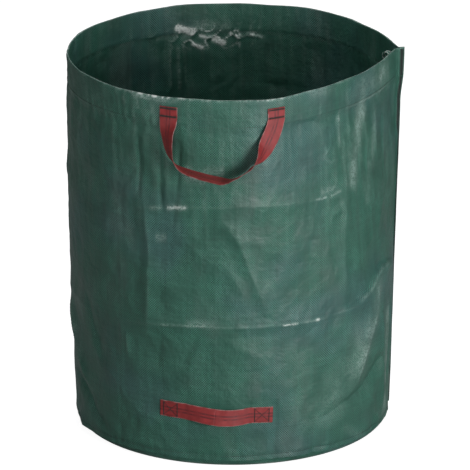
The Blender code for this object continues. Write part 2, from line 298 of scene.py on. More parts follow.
# %% The bag's outline
BAG_HEIGHT = 0.780
RIM_RADIUS = 0.335
BASE_RADIUS = 0.3195
STRAIGHT_ABOVE = 0.650
TAPER_POWER = 0.8
CLOTH = 0.001
SEAT_GAP = 0.0003
SEAM_ANGLE = 7.4
PINCH_PEAK = 0.003
PINCH_PEAK_SPAN = 10.0
PINCH_NEAR_DEPTH = 0.035
PINCH_NEAR_SPAN = 90.0
PINCH_FAR_DEPTH = 0.008
PINCH_FAR_SPAN = 60.0
PINCH_SKEW = 0.8
PINCH_RUN_OUT = 0.25
PINCH_FADE_BELOW = 0.250
TUCK_DEPTH = 0.0045
TUCK_SPREAD = 9.0
SEAM_STEP = (0.585, 0.625)
TUCK_END = (0.668, 0.724)


def ramp(value, low, high):
    """0 below low, 1 above high, and smooth between them."""
    share = np.clip((value - low) / (high - low), 0.0, 1.0)
    return share * share * (3.0 - 2.0 * share)


def plateau(value, start, full, still, end):
    """0 below start and above end, 1 from full to still, and smooth between them."""
    return ramp(value, start, full) * (1 - ramp(value, still, end))


def bag_radius(height):
    return BASE_RADIUS + (RIM_RADIUS - BASE_RADIUS) * np.clip(height / STRAIGHT_ABOVE, 0, 1) ** TAPER_POWER


def turn_between(start, end):
    """Degrees from one angle to another, the short way round."""
    return (end - start + 180.0) % 360.0 - 180.0


def from_seam(angle):
    return turn_between(SEAM_ANGLE, angle)


def pinch(angle, height):
    """How far the outline stands out of the round, beside the seam."""
    off = from_seam(angle)
    span = np.where(off < 0, PINCH_NEAR_SPAN, PINCH_FAR_SPAN)
    depth = np.where(off < 0, PINCH_NEAR_DEPTH, PINCH_FAR_DEPTH)
    reach = np.clip(np.abs(off) / span, 0, 1)
    hollow = np.sin(pi * reach ** PINCH_SKEW) * ramp(1.0 - reach, 0.0, PINCH_RUN_OUT)
    peak = PINCH_PEAK * np.clip(1.0 - np.abs(off) / PINCH_PEAK_SPAN, 0, 1)
    tuck = TUCK_DEPTH * plateau(height, *SEAM_STEP, *TUCK_END) * np.exp(-(off / TUCK_SPREAD) ** 2)
    return (peak - depth * hollow) * ramp(height, PINCH_FADE_BELOW, BAG_HEIGHT) - tuck


def outline(angle, height):
    """How far the plain outline lies from the bag's axis."""
    return bag_radius(height) + pinch(angle, height)


def ring_place(angle, reach, height):
    """Points at an angle round the bag, a distance from its axis and a height."""
    turn = np.radians(angle)
    return np.stack(np.broadcast_arrays(reach * np.cos(turn), reach * np.sin(turn), height), axis=-1)


def unit(vectors):
    """The same directions, one metre long."""
    return vectors / np.linalg.norm(vectors, axis=-1, keepdims=True)


def sines(value, *waves):
    """A sum of sine waves along a value, each given as (size, rate, start)."""
    return sum(size * np.sin(value * rate + start) for size, rate, start in waves)


print("mouth is", round(2 * float(bag_radius(BAG_HEIGHT)), 3), "m across")

# %% [markdown]
# Cloth that has stood for a while is never an even tube. Its surface is moved in and out by a
# few millimetres. Random waves in many directions, all about one wavelength long, add up to a
# soft unevenness, and folding their sum at zero turns it into the flat facets and sharp creases
# of stiff, laminated cloth. A fixed seed gives the same bag each time.

# %% Random waves on the cloth
WAVES = 22
SHORTEST_SHARE = 0.7
LONGEST_SHARE = 1.4
FACET_TOP = 0.8


def wave_field(seed, length, tall=1.0, sharp=False):
    """A function from places to waves of about that length, stretched upright by tall."""
    draw = np.random.default_rng(seed)
    heading = unit(draw.normal(size=(WAVES, 3)))
    heading *= 2 * pi / length * draw.uniform(SHORTEST_SHARE, LONGEST_SHARE, size=(WAVES, 1))
    heading[:, 2] /= tall
    phase = draw.uniform(0, 2 * pi, size=WAVES)

    def waves(angle, height):
        total = np.zeros(np.broadcast(angle, height).shape)
        place = ring_place(angle, RIM_RADIUS, height)
        for direction, start in zip(heading, phase):
            total += np.cos(place @ direction + start)
        total *= (2.0 / WAVES) ** 0.5
        return FACET_TOP - np.abs(total) if sharp else total

    return waves


broad_sag = wave_field(11, 0.34)
broad_facets = wave_field(12, 0.17, sharp=True)
small_facets = wave_field(13, 0.065, tall=1.3, sharp=True)
fine_crumple = wave_field(14, 0.028)
streaks = wave_field(15, 0.019, tall=9.0)
puckers = wave_field(16, 0.013, tall=3.0)
crinkle = wave_field(17, 0.034, sharp=True)
print("each wave field adds up", WAVES, "waves")

# %% [markdown]
# The bag was folded flat for packing, and those folds stay as long creases: two round it, at
# about a third and two thirds of its height, and upright ones where the bundle was folded across.
# The photograph also shows sags and dents of its own. Each is a listed line of (angle, height)
# points. A fold lifts the cloth along its line, or dents it where the lift is negative, and
# runs out to both sides: the first width is on the left hand when walking along the line.

# %% The main folds
FOLDS = [
    # the lower packing crease, from the left round the front, then up to the step beside the seam
    ([(-141, .272), (-125, .291), (-113, .301), (-99, .306), (-84, .302), (-62, .301), (-43, .304)],
     .0034, .042, .034),
    ([(-49, .301), (-37, .314), (-29.7, .328), (-24.5, .349), (-20, .362), (-1, .347)],
     .0110, .012, .085),
    ([(14, .335), (45, .306), (80, .300), (118, .307), (160, .300), (196, .290), (219, .272)],
     .0032, .040, .040),
    # the upper packing crease, all round
    ([(-140, .519), (-126, .533), (-115, .545), (-102, .555), (-84, .561), (-58, .554), (-32, .543)],
     .0026, .036, .030),
    ([(16, .548), (48, .556), (84, .552), (127, .560), (170, .548), (220, .519)],
     .0028, .036, .036),
    # upright packing creases
    ([(-121.5, .715), (-120, .640), (-121, .545)], -.0046, .012, .016),
    ([(-118.5, .600), (-117.2, .500), (-116.4, .430), (-117.7, .240)], .0066, .050, .036),
    ([(-39.6, .700), (-40.4, .576), (-42.4, .454), (-43.3, .255)], .0050, .030, .055),
    ([(60, .700), (61, .560), (59, .400), (60.5, .250)], .0052, .050, .040),
    ([(127, .690), (126, .540), (127.5, .380), (126.5, .240)], .0050, .045, .040),
    # a long soft diagonal down the front
    ([(-91.5, .545), (-84, .481), (-78.8, .398), (-75.6, .354), (-71.2, .315)], .0040, .035, .030),
    # the sags low on the right
    ([(-10, .215), (-21.7, .156), (-32.4, .121), (-43.4, .104), (-58, .080)], -.0095, .034, .026),
    ([(-23, .345), (-25.8, .273), (-32, .203), (-37.9, .132), (-41, .110)], .0110, .022, .045),
    ([(-19.7, .285), (-18, .136), (-15.8, .010)], .0085, .020, .030),
    ([(-8, .310), (-6, .200), (-7, .040)], -.0060, .022, .026),
    ([(-28, .110), (-24, .060), (-17, .020)], .0060, .020, .030),
    ([(-57, .090), (-56, -.030)], -.0050, .045, .045),
    ([(-24, .080), (-23, -.030)], -.0045, .030, .030),
    ([(-131, .085), (-130, -.030)], -.0030, .040, .040),
    ([(-160, .060), (-151, -.030)], .0050, .050, .045),
    # the dark band low on the left, and the lighter one above it
    ([(-170, .125), (-151, .089), (-144.7, .058), (-134, .030)], -.0088, .028, .024),
    ([(-174, .280), (-165, .205), (-158, .150), (-148, .100)], .0090, .032, .028),
    ([(-152, .330), (-146, .240), (-140, .180)], -.0050, .030, .030),
    # dents below the lower crease
    ([(-97.6, .292), (-101, .252), (-105.8, .200)], -.0040, .016, .040),
    ([(-112.0, .292), (-113.9, .190)], -.0030, .018, .030),
    ([(-127, .270), (-126, .215)], .0030, .020, .020),
    ([(-63.5, .432), (-61.2, .421)], -.0024, .010, .010),
    # soft pleats below the left end of the carrying handle
    ([(-113.4, .716), (-112, .616), (-111, .510)], -.0044, .012, .016),
    ([(-104.3, .716), (-105.4, .610), (-107.7, .480)], -.0038, .010, .014),
    ([(-109, .650), (-109.5, .550)], .0022, .014, .014),
    ([(-101, .720), (-99, .650), (-94, .590)], .0026, .014, .018),
    # small ridges right of the handle, and upright ones towards the seam
    ([(-41.3, .735), (-42.4, .705), (-42.1, .630)], .0026, .009, .012),
    ([(-45.7, .662), (-50.9, .636)], .0020, .010, .012),
    ([(-52, .640), (-47.5, .622), (-41.5, .628)], .0022, .010, .016),
    ([(-33, .712), (-31, .640), (-32, .560)], -.0030, .012, .012),
    ([(-26, .716), (-25, .640), (-27, .540)], .0040, .010, .014),
    ([(-17, .712), (-17.5, .640), (-16, .560)], .0036, .009, .012),
    ([(-10, .700), (-11, .620), (-10, .500)], -.0030, .010, .012),
]
print("main folds:", len(FOLDS))

# %% [markdown]
# Behind the mouth the photograph shows where the hem's lower edge has crumpled inwards, and some
# narrow upright folds beside that. They are short lines, all but one with an inward lift. Short
# faint creases at random places are added to them all over the wall.

# %% Crumples inside the mouth
INSIDE_FOLDS = [
    ([(115.5, .728), (112.9, .731), (109, .722), (105.8, .711)], -.0048, .010, .014),
    ([(108.8, .700), (106.5, .690), (104.2, .684)], -.0040, .009, .012),
    ([(105.0, .708), (102.2, .706), (99.4, .697), (96.4, .691), (93.9, .700)], -.0046, .011, .014),
    ([(93.6, .716), (92.2, .710), (90.4, .700)], -.0044, .010, .012),
    ([(89.6, .714), (87.1, .713), (84.6, .709), (82.0, .704)], -.0034, .012, .018),
    ([(128.5, .723), (122.3, .721), (118.3, .733)], -.0026, .014, .018),
    ([(117.0, .720), (116.2, .650), (116.4, .570)], -.0036, .009, .010),
    ([(113.6, .712), (112.4, .650), (112.8, .585)], -.0042, .009, .010),
    ([(110.6, .700), (109.8, .640), (110.4, .560)], .0030, .009, .010),
    ([(99.0, .690), (98.0, .600)], -.0018, .020, .030),
]
RANDOM_CREASES = 150
CREASE_HEIGHTS = (0.05, 0.70)
CREASE_LEANS = (0.0, 90.0, 45.0, -45.0)
CREASE_LEAN_SPREAD = 18
CREASE_LENGTHS = (0.02, 0.10)
CREASE_LIFTS = (0.0005, 0.0015)
CREASE_WIDTHS = (0.008, 0.020)
CREASE_UNEVEN = (0.8, 1.6)
CREASE_BOW = 0.08


def random_creases(seed):
    """Short faint creases all over the wall: level, upright or slanted, give or take a little."""
    draw = np.random.default_rng(seed)
    creases = []
    for _ in range(RANDOM_CREASES):
        angle, height = draw.uniform(-180, 180), draw.uniform(*CREASE_HEIGHTS)
        lean = draw.choice(CREASE_LEANS) + draw.normal(0, CREASE_LEAN_SPREAD)
        length = draw.uniform(*CREASE_LENGTHS)
        lift = draw.uniform(*CREASE_LIFTS) * draw.choice([-1, 1])
        width = draw.uniform(*CREASE_WIDTHS)
        run = Vector((cos(radians(lean)), sin(radians(lean)))) * length / 2
        bow = draw.normal(0, CREASE_BOW) * length
        across = run.x / RIM_RADIUS * 180 / pi
        line = [(angle - across, height - run.y), (angle, height + bow), (angle + across, height + run.y)]
        creases.append((line, lift, width, width * draw.uniform(*CREASE_UNEVEN)))
    return creases


ALL_FOLDS = FOLDS + INSIDE_FOLDS + random_creases(seed=5)
print("folds and creases in all:", len(ALL_FOLDS))

# %% [markdown]
# To lift the cloth along a line, each place needs its distance to the nearest stretch of that
# line, the side it lies on, and how far along the line it is, because a fold dies out at its
# ends. The distances are measured on the unrolled wall.

# %% How one fold moves the cloth
FOLD_END = 0.28
DEGREE = radians(1.0) * RIM_RADIUS


def near_fold(angle, height, line):
    """For each place: its distance to the line, whether it is on the left, and its share along."""
    steps = [((b[0] - a[0]) * DEGREE, b[1] - a[1]) for a, b in zip(line, line[1:])]
    lengths = [(x * x + y * y) ** 0.5 for x, y in steps]
    nearest = np.full(np.shape(angle), 1e9)
    left = np.zeros(np.shape(angle), bool)
    along = np.zeros(np.shape(angle))
    done = 0.0
    for start, (x, y), length in zip(line, steps, lengths):
        across = turn_between(start[0], angle) * DEGREE
        up = height - start[1]
        share = np.clip((across * x + up * y) / length ** 2, 0, 1)
        distance = np.hypot(across - share * x, up - share * y)
        closer = distance < nearest
        nearest = np.where(closer, distance, nearest)
        left = np.where(closer, x * up - y * across > 0, left)
        along = np.where(closer, (done + share * length) / sum(lengths), along)
        done += length
    return nearest, left, along


def both_ends(along, end):
    """1 along the middle of a line, dying out over that share of it at each end."""
    return ramp(along, 0, end) * ramp(1 - along, 0, end)


def fold_lift(angle, height, fold):
    """How far one fold moves the cloth outwards, sharp on its line and running out both ways."""
    line, lift, left_width, right_width = fold
    distance, left, along = near_fold(angle, height, line)
    run_out = np.clip(1.0 - distance / np.where(left, left_width, right_width), 0, 1) ** 2
    return lift * run_out * both_ends(along, FOLD_END)


print("a fold dies out over", FOLD_END, "of its length at each end")

# %% [markdown]
# The waves aren't equally strong all over. Towards the side seam and at the far left the upper
# cloth is drawn into upright streaks, and behind the mouth there is a crumpled stretch.

# %% Where the cloth is gathered and crumpled
GATHERED_HEIGHTS = (0.40, 0.60)
GATHERED_LEFT = (-200, -172, -160, -136)
GATHERED_RIGHT = (-48, -30, 2, 5)
LEFT_STRENGTH = 2.4
RIGHT_STRENGTH = 1.5
REST_STRENGTH = 0.25
CRUMPLE_ANGLE = 103
CRUMPLE_HEIGHT = 0.709
CRUMPLE_TALL = 0.024
CRUMPLE_AFTER = 12.0
CRUMPLE_BEFORE = 17.0


def gathered(angle, height):
    """How strongly the cloth is drawn into upright streaks: most high up, left and right."""
    left = LEFT_STRENGTH * plateau(angle, *GATHERED_LEFT)
    right = RIGHT_STRENGTH * plateau(angle, *GATHERED_RIGHT)
    return ramp(height, *GATHERED_HEIGHTS) * (REST_STRENGTH + left + right)


def crumpled(angle, height):
    """1 in the middle of the crumpled stretch behind the mouth, and 0 well away from it."""
    off = angle - CRUMPLE_ANGLE
    across = np.where(off > 0, off / CRUMPLE_AFTER, -off / CRUMPLE_BEFORE)
    return np.exp(-across ** 4 - ((height - CRUMPLE_HEIGHT) / CRUMPLE_TALL) ** 4)


print("crumpled behind the mouth, round", CRUMPLE_ANGLE, "degrees")

# %% [markdown]
# Where the webbing's ends are sewn on, the wall is flat, and behind the hanging loops it bulges
# out very little. A patch of wall is given as (angle, height, half width, half height).

# %% Where the wall stays flat
CARRYING_HANDLES = (("front", -90), ("back", 90))
LEFT_AND_RIGHT = (("left", -1), ("right", 1))
CARRYING_END_TURN = 18.6
LOWER_HANDLE_ANGLE = -92.6
LOWER_HANDLE_HEIGHT = 0.117
LOWER_END_TURN = 16.5
LOWER_END_DROP = 0.003
PATCH_EDGE = 0.018

loop_patches = [(middle, .70, .125, .080) for _, middle in CARRYING_HANDLES]
sewn_patches = []
for _, side in LEFT_AND_RIGHT:
    end_height = LOWER_HANDLE_HEIGHT - side * LOWER_END_DROP
    sewn_patches.append((LOWER_HANDLE_ANGLE + side * LOWER_END_TURN, end_height, .024, .019))
    for _, middle in CARRYING_HANDLES:
        sewn_patches.append((middle + side * CARRYING_END_TURN, .752, .021, .010))


def in_patch(angle, height, patch):
    """1 inside an upright patch of wall and 0 outside it."""
    middle, level, half_width, half_height = patch
    across = np.abs(turn_between(middle, angle)) * DEGREE
    beside = 1 - ramp(across, half_width, half_width + PATCH_EDGE)
    return beside * (1 - ramp(np.abs(height - level), half_height, half_height + PATCH_EDGE))


print("flat patches:", len(loop_patches) + len(sewn_patches))

# %% [markdown]
# The whole movement of the wall is the sum of the waves and the folds, with three limits. Near
# the side seam the doubled cloth is stiff. In the hem the cloth lies against the strip, so it
# can hardly go inwards. Behind the webbing it stays flat. The sizes of the movements are in metres.

# %% How far the cloth stands from the plain outline
HEM_EDGE = 0.720
HEM_THREAD_HEIGHT = 0.7235
BASE_THREAD_HEIGHT = 0.0265
SAG = 0.0018
FACET = 0.0017
SMALL_FACET = 0.0006
FINE_CRUMPLE = 0.00016
STREAK = 0.0007
CRINKLE = 0.0030
HEM_HOLLOW = 0.0018
HEM_HOLLOW_HEIGHT = 0.711
HEM_PUCKER = 0.0009
BASE_PUCKER = 0.0003
PUCKER_WIDTH = 0.012
GROOVE = 0.0007
GROOVE_WIDTH = 0.0035
STIFF_SEAM = (0.4, 4.0)
STIFF_HEM = (HEM_EDGE - 0.010, HEM_EDGE + 0.003)
MOST_BEHIND_LOOP = 0.0008
MOST_IN = -0.012
MOST_IN_AT_HEM = -0.0008
MOST_OUT = 0.009


def cloth_shift(angle, height):
    """How far out of the plain outline the cloth's outer face lies, in metres."""
    angle, height = np.broadcast_arrays(np.asarray(angle, float), np.asarray(height, float))
    shift = SAG * broad_sag(angle, height) + FACET * broad_facets(angle, height)
    shift += SMALL_FACET * small_facets(angle, height) + FINE_CRUMPLE * fine_crumple(angle, height)
    shift += STREAK * streaks(angle, height) * gathered(angle, height)
    shift -= CRINKLE * crinkle(angle, height) * crumpled(angle, height)
    for fold in ALL_FOLDS:
        shift += fold_lift(angle, height, fold)
    shift -= HEM_HOLLOW * np.exp(-((height - HEM_HOLLOW_HEIGHT) / PUCKER_WIDTH) ** 2)
    for seam_height, pucker in ((HEM_THREAD_HEIGHT, HEM_PUCKER), (BASE_THREAD_HEIGHT, BASE_PUCKER)):
        near = np.exp(-((height - seam_height) / PUCKER_WIDTH) ** 2)
        groove = np.exp(-((height - seam_height) / GROOVE_WIDTH) ** 2)
        shift += pucker * puckers(angle, height) * near - GROOVE * groove
    shift *= ramp(np.abs(from_seam(angle)), *STIFF_SEAM)
    for patch in loop_patches:
        shift += (np.minimum(shift, MOST_BEHIND_LOOP) - shift) * in_patch(angle, height, patch)
    for patch in sewn_patches:
        shift *= 1 - in_patch(angle, height, patch)
    least = MOST_IN + (MOST_IN_AT_HEM - MOST_IN) * ramp(height, *STIFF_HEM)
    return np.clip(shift, least, MOST_OUT)


def wall_surface(angle, height, out=0.0):
    """Points on the dressed wall, or that far out from it."""
    return ring_place(angle, outline(angle, height) + cloth_shift(angle, height) + out, height)


test = cloth_shift(np.linspace(-180, 180, 400)[:, None], np.linspace(0.05, 0.7, 100)[None, :])
print("cloth moves from", round(float(test.min()) * 1000, 1), "to", round(float(test.max()) * 1000, 1), "mm")

# %% [markdown]
# Stiff laminated cloth turns pale where it has been creased. That is kept as a number on each
# point of the mesh, called crease_and_highlight, which the cloth's material reads. The same number
# also carries painted light: highlights where a crest, the rim or a crumple would catch the light,
# and lighter facets that face the lamps. It is strongest on a few short stretches that catch the
# eye in the photograph, and faint along the main folds that stand out.

# %% Where creasing has turned the cloth pale, and painted highlights
PALE_CREASES_AND_HIGHLIGHTS = [
    # bright lines on the packing creases' crests: stress whitening, and painted highlights where the crests
    # catch the light
    ([(-113.5, .3005), (-104, .3045), (-95, .306)], 0.50, .0022),
    ([(-104, .3100), (-98, .3120), (-92, .309)], 0.22, .0070),
    ([(-95, .306), (-86, .303)], 0.20, .0020),
    ([(-69, .3015), (-62.5, .3010)], 1.20, .0026),
    ([(-61, .3010), (-55, .3012), (-50, .302)], 0.32, .0022),
    ([(-55.5, .3012), (-53.8, .3012)], 1.30, .0030),
    ([(-116, .5440), (-111, .5490)], 0.45, .0042),
    ([(-110, .5500), (-105, .5530), (-101.5, .5555)], 1.05, .0058),
    ([(-114, .484), (-109.5, .484)], 0.46, .0075),
    ([(-104, .634), (-100, .622), (-95, .612)], 0.75, .0095),
    ([(-55.5, .5535), (-49.5, .5525)], 0.75, .0024),
    ([(-48.5, .5520), (-43, .5590)], 0.55, .0024),
    ([(-53, .5640), (-45, .5680)], 0.25, .0060),
    ([(-42.6, .712), (-42.3, .700)], 0.60, .0040),
    ([(-41.5, .735), (-42.3, .690), (-42.1, .640)], 0.26, .0026),
    ([(-37.1, .316), (-29.7, .329), (-24.5, .350), (-20, .363), (-8, .357)], 0.30, .0020),
    ([(-97, .630), (-89, .628)], 0.45, .0110),
    # upright pale streaks towards the seam and at the far left: painted sheen from the pale studio, and some
    # wear
    ([(-25, .730), (-29, .680), (-34.5, .600), (-37, .540)], 0.46, .0170),
    ([(-16, .715), (-19, .640), (-21, .560)], 0.30, .0110),
    ([(-24, .600), (-27, .500)], 0.18, .0080),
    ([(-166, .760), (-165, .640), (-164, .560)], 0.22, .0120),
    ([(-174, .755), (-173, .700)], 0.50, .0110),
    ([(-160, .765), (-158, .735)], 0.40, .0080),
    ([(-154, .750), (-153, .700), (-155, .640)], 0.18, .0060),
    # painted light on the folds low on the right and on the flat facet beside the seam, which face the lamp
    ([(-22, .355), (-24.2, .320), (-25.8, .273), (-32, .203), (-37.9, .132)], 0.34, .0210),
    ([(-68, .085), (-50, .120), (-36, .200), (-30, .290)], 0.15, .0450),
    ([(-12, .285), (-11, .200), (-10, .090), (-12, .010)], 0.50, .0190),
    ([(-44, .060), (-36, .030), (-28, .012)], 0.12, .0090),
    ([(-66, .285), (-62, .210), (-58, .150)], 0.08, .0160),
    # painted light on the facet low on the left, and the worn foot below it
    ([(-172, .270), (-164, .200), (-157, .145)], 0.28, .0150),
    ([(-150, .030), (-140, .018)], 0.22, .0060),
    # painted highlights on the crumples behind the mouth
    ([(115, .735), (111, .728), (107, .716)], 2.60, .0075),
    ([(108.6, .697), (105.5, .687), (103.4, .684)], 1.90, .0045),
    ([(105.5, .712), (102.8, .707)], 1.60, .0040),
    ([(101.0, .704), (98.4, .698), (95.4, .691)], 2.60, .0055),
    ([(99.6, .708), (97.6, .702)], 1.40, .0035),
    ([(94.6, .718), (93.6, .709)], 1.50, .0032),
    ([(92.6, .714), (90.8, .702)], 1.80, .0036),
    ([(88.6, .7145), (86.0, .7125), (82.0, .706)], 0.80, .0032),
    ([(108, .741), (101, .733), (93, .726)], 0.30, .0110),
    ([(116.2, .700), (116.2, .600)], 0.30, .0030),
    ([(113.2, .700), (112.5, .590)], 0.36, .0030),
    ([(110.6, .690), (110.0, .600)], 0.20, .0030),
    # painted sheen on the hem near the seam, and a painted highlight along its lower edge
    ([(-40, .7215), (-22, .7205), (-3, .7200)], 0.40, .0022),
    ([(-34, .752), (-18, .752), (0, .750)], 0.20, .0240),
    ([(-12, .740), (-7, .764)], 0.34, .0070),
    # painted highlight along the edge of the mouth left of the handle, where the rim catches the light, and
    # wear
    ([(-124, .774), (-104, .774)], 0.50, .0050),
    ([(-127, .768), (-126, .750)], 0.30, .0035),
    ([(-121, .770), (-120.4, .745)], 0.26, .0035),
    ([(-115, .768), (-114.6, .740)], 0.26, .0040),
    ([(-58, .770), (-44, .772)], 0.22, .0080),
]
PALEST_MARK = 2.0
MARK_END = 0.15
STREAK_FROM = 0.1
CRINKLE_FROM = 0.42
FOLD_CREST_HIGHLIGHT = 0.09
FOLD_CREST_HIGHLIGHT_WIDTH = 0.003
STREAK_PAINTED_LIGHT = 0.34
CRINKLE_HIGHLIGHT = 5.0


def pale_and_highlight_mark(angle, height):
    """0 for plain cloth, 1 where creasing turns it pale and where light is painted, and 2 for painted
    highlights near white.
    """
    mark = np.zeros(np.broadcast(angle, height).shape)
    for line, strength, width in PALE_CREASES_AND_HIGHLIGHTS:
        distance, _, along = near_fold(angle, height, line)
        mark += strength * both_ends(along, MARK_END) * np.exp(-(distance / width) ** 2)
    # a painted highlight along the crest of each outward fold
    for line, lift, _, _ in FOLDS:
        distance, _, along = near_fold(angle, height, line)
        pale = FOLD_CREST_HIGHLIGHT * both_ends(along, FOLD_END) * np.exp(-(distance / FOLD_CREST_HIGHLIGHT_WIDTH) ** 2)
        mark += pale * (lift > 0)
    # painted light on the upright streaks where the cloth is gathered
    streak_light = np.clip(streaks(angle, height) - STREAK_FROM, 0, 1)
    crinkle_highlight = np.clip(crinkle(angle, height) - CRINKLE_FROM, 0, 1)
    mark += STREAK_PAINTED_LIGHT * streak_light * gathered(angle, height)
    # painted highlights on the crinkles behind the mouth
    mark += CRINKLE_HIGHLIGHT * crinkle_highlight * crumpled(angle, height)
    return np.clip(mark, 0, PALEST_MARK)


print("pale creases:", len(PALE_CREASES_AND_HIGHLIGHTS))

# %% [markdown]
# The cloth is woven from flat tapes 2.5 mm wide, over one and under one, and then coated. Each
# little square shows either an upright or a level tape. The two shine differently, which gives
# the fine diagonal chequer of the photograph. The pattern is worked out from the cloth's own UV
# map, in metres, so it follows the cloth round the bag, over the hem and through every pose. A
# large whole number of tapes is added first, because remainders go wrong below zero. The shares
# and limits in the mixes are set to come out in the photograph's colours.

# %% Woven cloth
TAPE = 0.0025
WHOLE_TAPES = 4000.0
TAPE_RELIEF = 0.00014
GAP_RELIEF = 0.00008
FINE_WRINKLE = 0.0012
SOFT_WRINKLE = 0.0020
SCRATCH_RELIEF = 0.0006
WOVEN_BUMP = 0.9
CLOTH_GREEN = (0.030, 0.119, 0.085, 1.0)
CLOTH_COOL = (0.044, 0.114, 0.116, 1.0)
CLOTH_FADED = (0.088, 0.142, 0.126, 1.0)
# pale colour of creased cloth, also used for painted highlights
CLOTH_WORN_AND_HIGHLIGHT = (0.290, 0.400, 0.360, 1.0)
# near-white colour of painted highlights
CLOTH_HIGHLIGHT_WHITE = (0.800, 0.860, 0.830, 1.0)


def tape_weave(nodes, place):
    """Which tape is on top, how near a gap is, the surface's height, and the top tape's own shade."""
    across, along = [part / TAPE + WHOLE_TAPES for part in nodes.parts(place)]
    upright = (across.math("FLOOR") + along.math("FLOOR")) % 2.0
    from_middle = [abs(part.math("FRACT") - 0.5) * 2.0 for part in (across, along)]
    gap = from_middle[0].math("MAXIMUM", from_middle[1]) ** 7.0
    arch = [1.0 - part * part for part in from_middle]
    height = arch[1] * upright + arch[0] * (1.0 - upright)
    shades = []
    for part in (across, along):
        whole = part.math("FLOOR")
        shades.append(nodes.add("ShaderNodeTexWhiteNoise", {"noise_dimensions": "1D"}, {"W": whole}))
    shade = shades[0] * upright + shades[1] * (1.0 - upright)
    return upright, gap, height, shade


def make_cloth_finish():
    material, nodes, shader = new_finish("woven_cloth", 0.42, coat=0.07, coat_roughness=0.30)
    place = nodes.add("ShaderNodeUVMap", {"uv_map": "cloth"})
    upright, gap, height, shade = tape_weave(nodes, place)
    crease_and_highlight = nodes.add("ShaderNodeAttribute", {"attribute_name": "crease_and_highlight"}, output="Fac")
    patches = nodes.noise(place, 5.0, detail=3.0)
    cloudy = nodes.noise(place, 17.0, detail=4.0)
    streaky = nodes.noise(place, 60.0, detail=3.0, stretch=(1.0, 0.12, 1.0))
    fine = nodes.noise(place, 170.0, detail=2.0)
    sheen_contrast = cloudy.span(0.38, 0.62) * 1.15 + 0.35
    # random cool patches, which also stand for painted reflection of the pale studio
    colour = nodes.mix(patches.span(0.45, 0.70) * 0.6, CLOTH_GREEN, CLOTH_COOL)
    faded = nodes.noise(place, 11.0, detail=4.0, stretch=(1.0, 0.45, 1.0))
    colour = nodes.mix(faded.span(0.52, 0.74) * 0.55, colour, CLOTH_FADED)
    # painted sheen: upright and level tapes take lighter and darker colour by turns, and the gaps between
    # tapes get painted shade
    tone = (upright - 0.5) * sheen_contrast + (shade - 0.5) * 0.20 - gap * 0.30
    tone = tone + (cloudy - 0.5) * 0.70 + (streaky - 0.5) * 0.50 + 1.02
    colour = nodes.mix(1.0, colour, tone, "MULTIPLY")
    scratch = (1.0 - abs(fine - 0.5) * 9.0).math("MAXIMUM", 0.0)
    # creased cloth turns pale, and the same mix paints highlights and lit facets carried by the number
    worn_and_highlight = crease_and_highlight * (scratch * 1.4 + 0.34) * (cloudy.span(0.38, 0.60) * 0.75 + 0.40)
    worn_and_highlight = worn_and_highlight + fine.span(0.66, 0.78) * 0.07
    colour = nodes.mix(worn_and_highlight.math("MINIMUM", 1.0) * 0.85, colour, CLOTH_WORN_AND_HIGHLIGHT)
    # painted highlights, nearly white, where the number passes 0.75
    painted_highlight = (crease_and_highlight - 0.75).math("MAXIMUM", 0.0) * (scratch + 0.45)
    colour = nodes.mix(painted_highlight.math("MINIMUM", 1.0), colour, CLOTH_HIGHLIGHT_WHITE)
    roughness = 0.34 + cloudy * 0.16 + upright * 0.10 + crease_and_highlight * 0.06
    wrinkle = nodes.noise(place, 120.0, detail=3.0) * FINE_WRINKLE + nodes.noise(place, 45.0) * SOFT_WRINKLE
    relief = height * TAPE_RELIEF - gap * GAP_RELIEF + wrinkle + crease_and_highlight * scratch * SCRATCH_RELIEF
    nodes.show(shader, colour, roughness, relief, WOVEN_BUMP)
    return material


cloth_finish = make_cloth_finish()
print("cloth finish has", len(cloth_finish.node_tree.nodes), "nodes")

# %% [markdown]
# Cloth, webbing and the base are all sheets, and Blender's grid operator makes a sheet: a flat
# grid whose vertices are then moved to their places. The helper below takes an array of places,
# one row after another, and writes the UV map in metres. Where a sheet meets itself, its doubled
# vertices are merged, and the open ends of a strap are closed.

# %% A sheet from an array of places


def placed_sheet(name, places, marks, finish, crease_and_highlight=None, normals=None, weld=False, cap=False):
    """A grid moved to places[row, column], with UVs marks[row, column] in metres."""
    rows, columns = places.shape[:2]
    grid = bmesh.new()
    bmesh.ops.create_grid(grid, x_segments=columns - 1, y_segments=rows - 1, size=0.5)
    mesh = bpy.data.meshes.new(name)
    grid.to_mesh(mesh)
    grid.free()
    flat = np.empty(len(mesh.vertices) * 3)
    mesh.vertices.foreach_get("co", flat)
    column = np.rint((flat[0::3] + 0.5) * (columns - 1)).astype(int)
    row = np.rint((flat[1::3] + 0.5) * (rows - 1)).astype(int)
    mesh.vertices.foreach_set("co", places[row, column].ravel())
    corners = np.empty(len(mesh.loops), int)
    mesh.loops.foreach_get("vertex_index", corners)
    mesh.uv_layers.new(name="cloth").data.foreach_set("uv", marks[row, column][corners].ravel())
    if crease_and_highlight is not None:
        mesh.attributes.new("crease_and_highlight", "FLOAT", "POINT").data.foreach_set("value", crease_and_highlight[row, column])
    mesh.materials.append(finish)
    mesh.shade_smooth()
    if normals is not None:
        mesh.normals_split_custom_set_from_vertices(normals[row, column])
    if weld:
        close_up(mesh, cap)
    print(name, len(mesh.polygons), "faces")
    return add_object(name, mesh)


def close_up(mesh, cap):
    """Merge doubled vertices, cap the open ends if asked, and point every face outwards."""
    shape = bmesh.new()
    shape.from_mesh(mesh)
    bmesh.ops.remove_doubles(shape, verts=shape.verts, dist=1e-6)
    if cap:
        bmesh.ops.holes_fill(shape, edges=shape.edges, sides=0)
    bmesh.ops.recalc_face_normals(shape, faces=shape.faces)
    shape.to_mesh(mesh)
    shape.free()


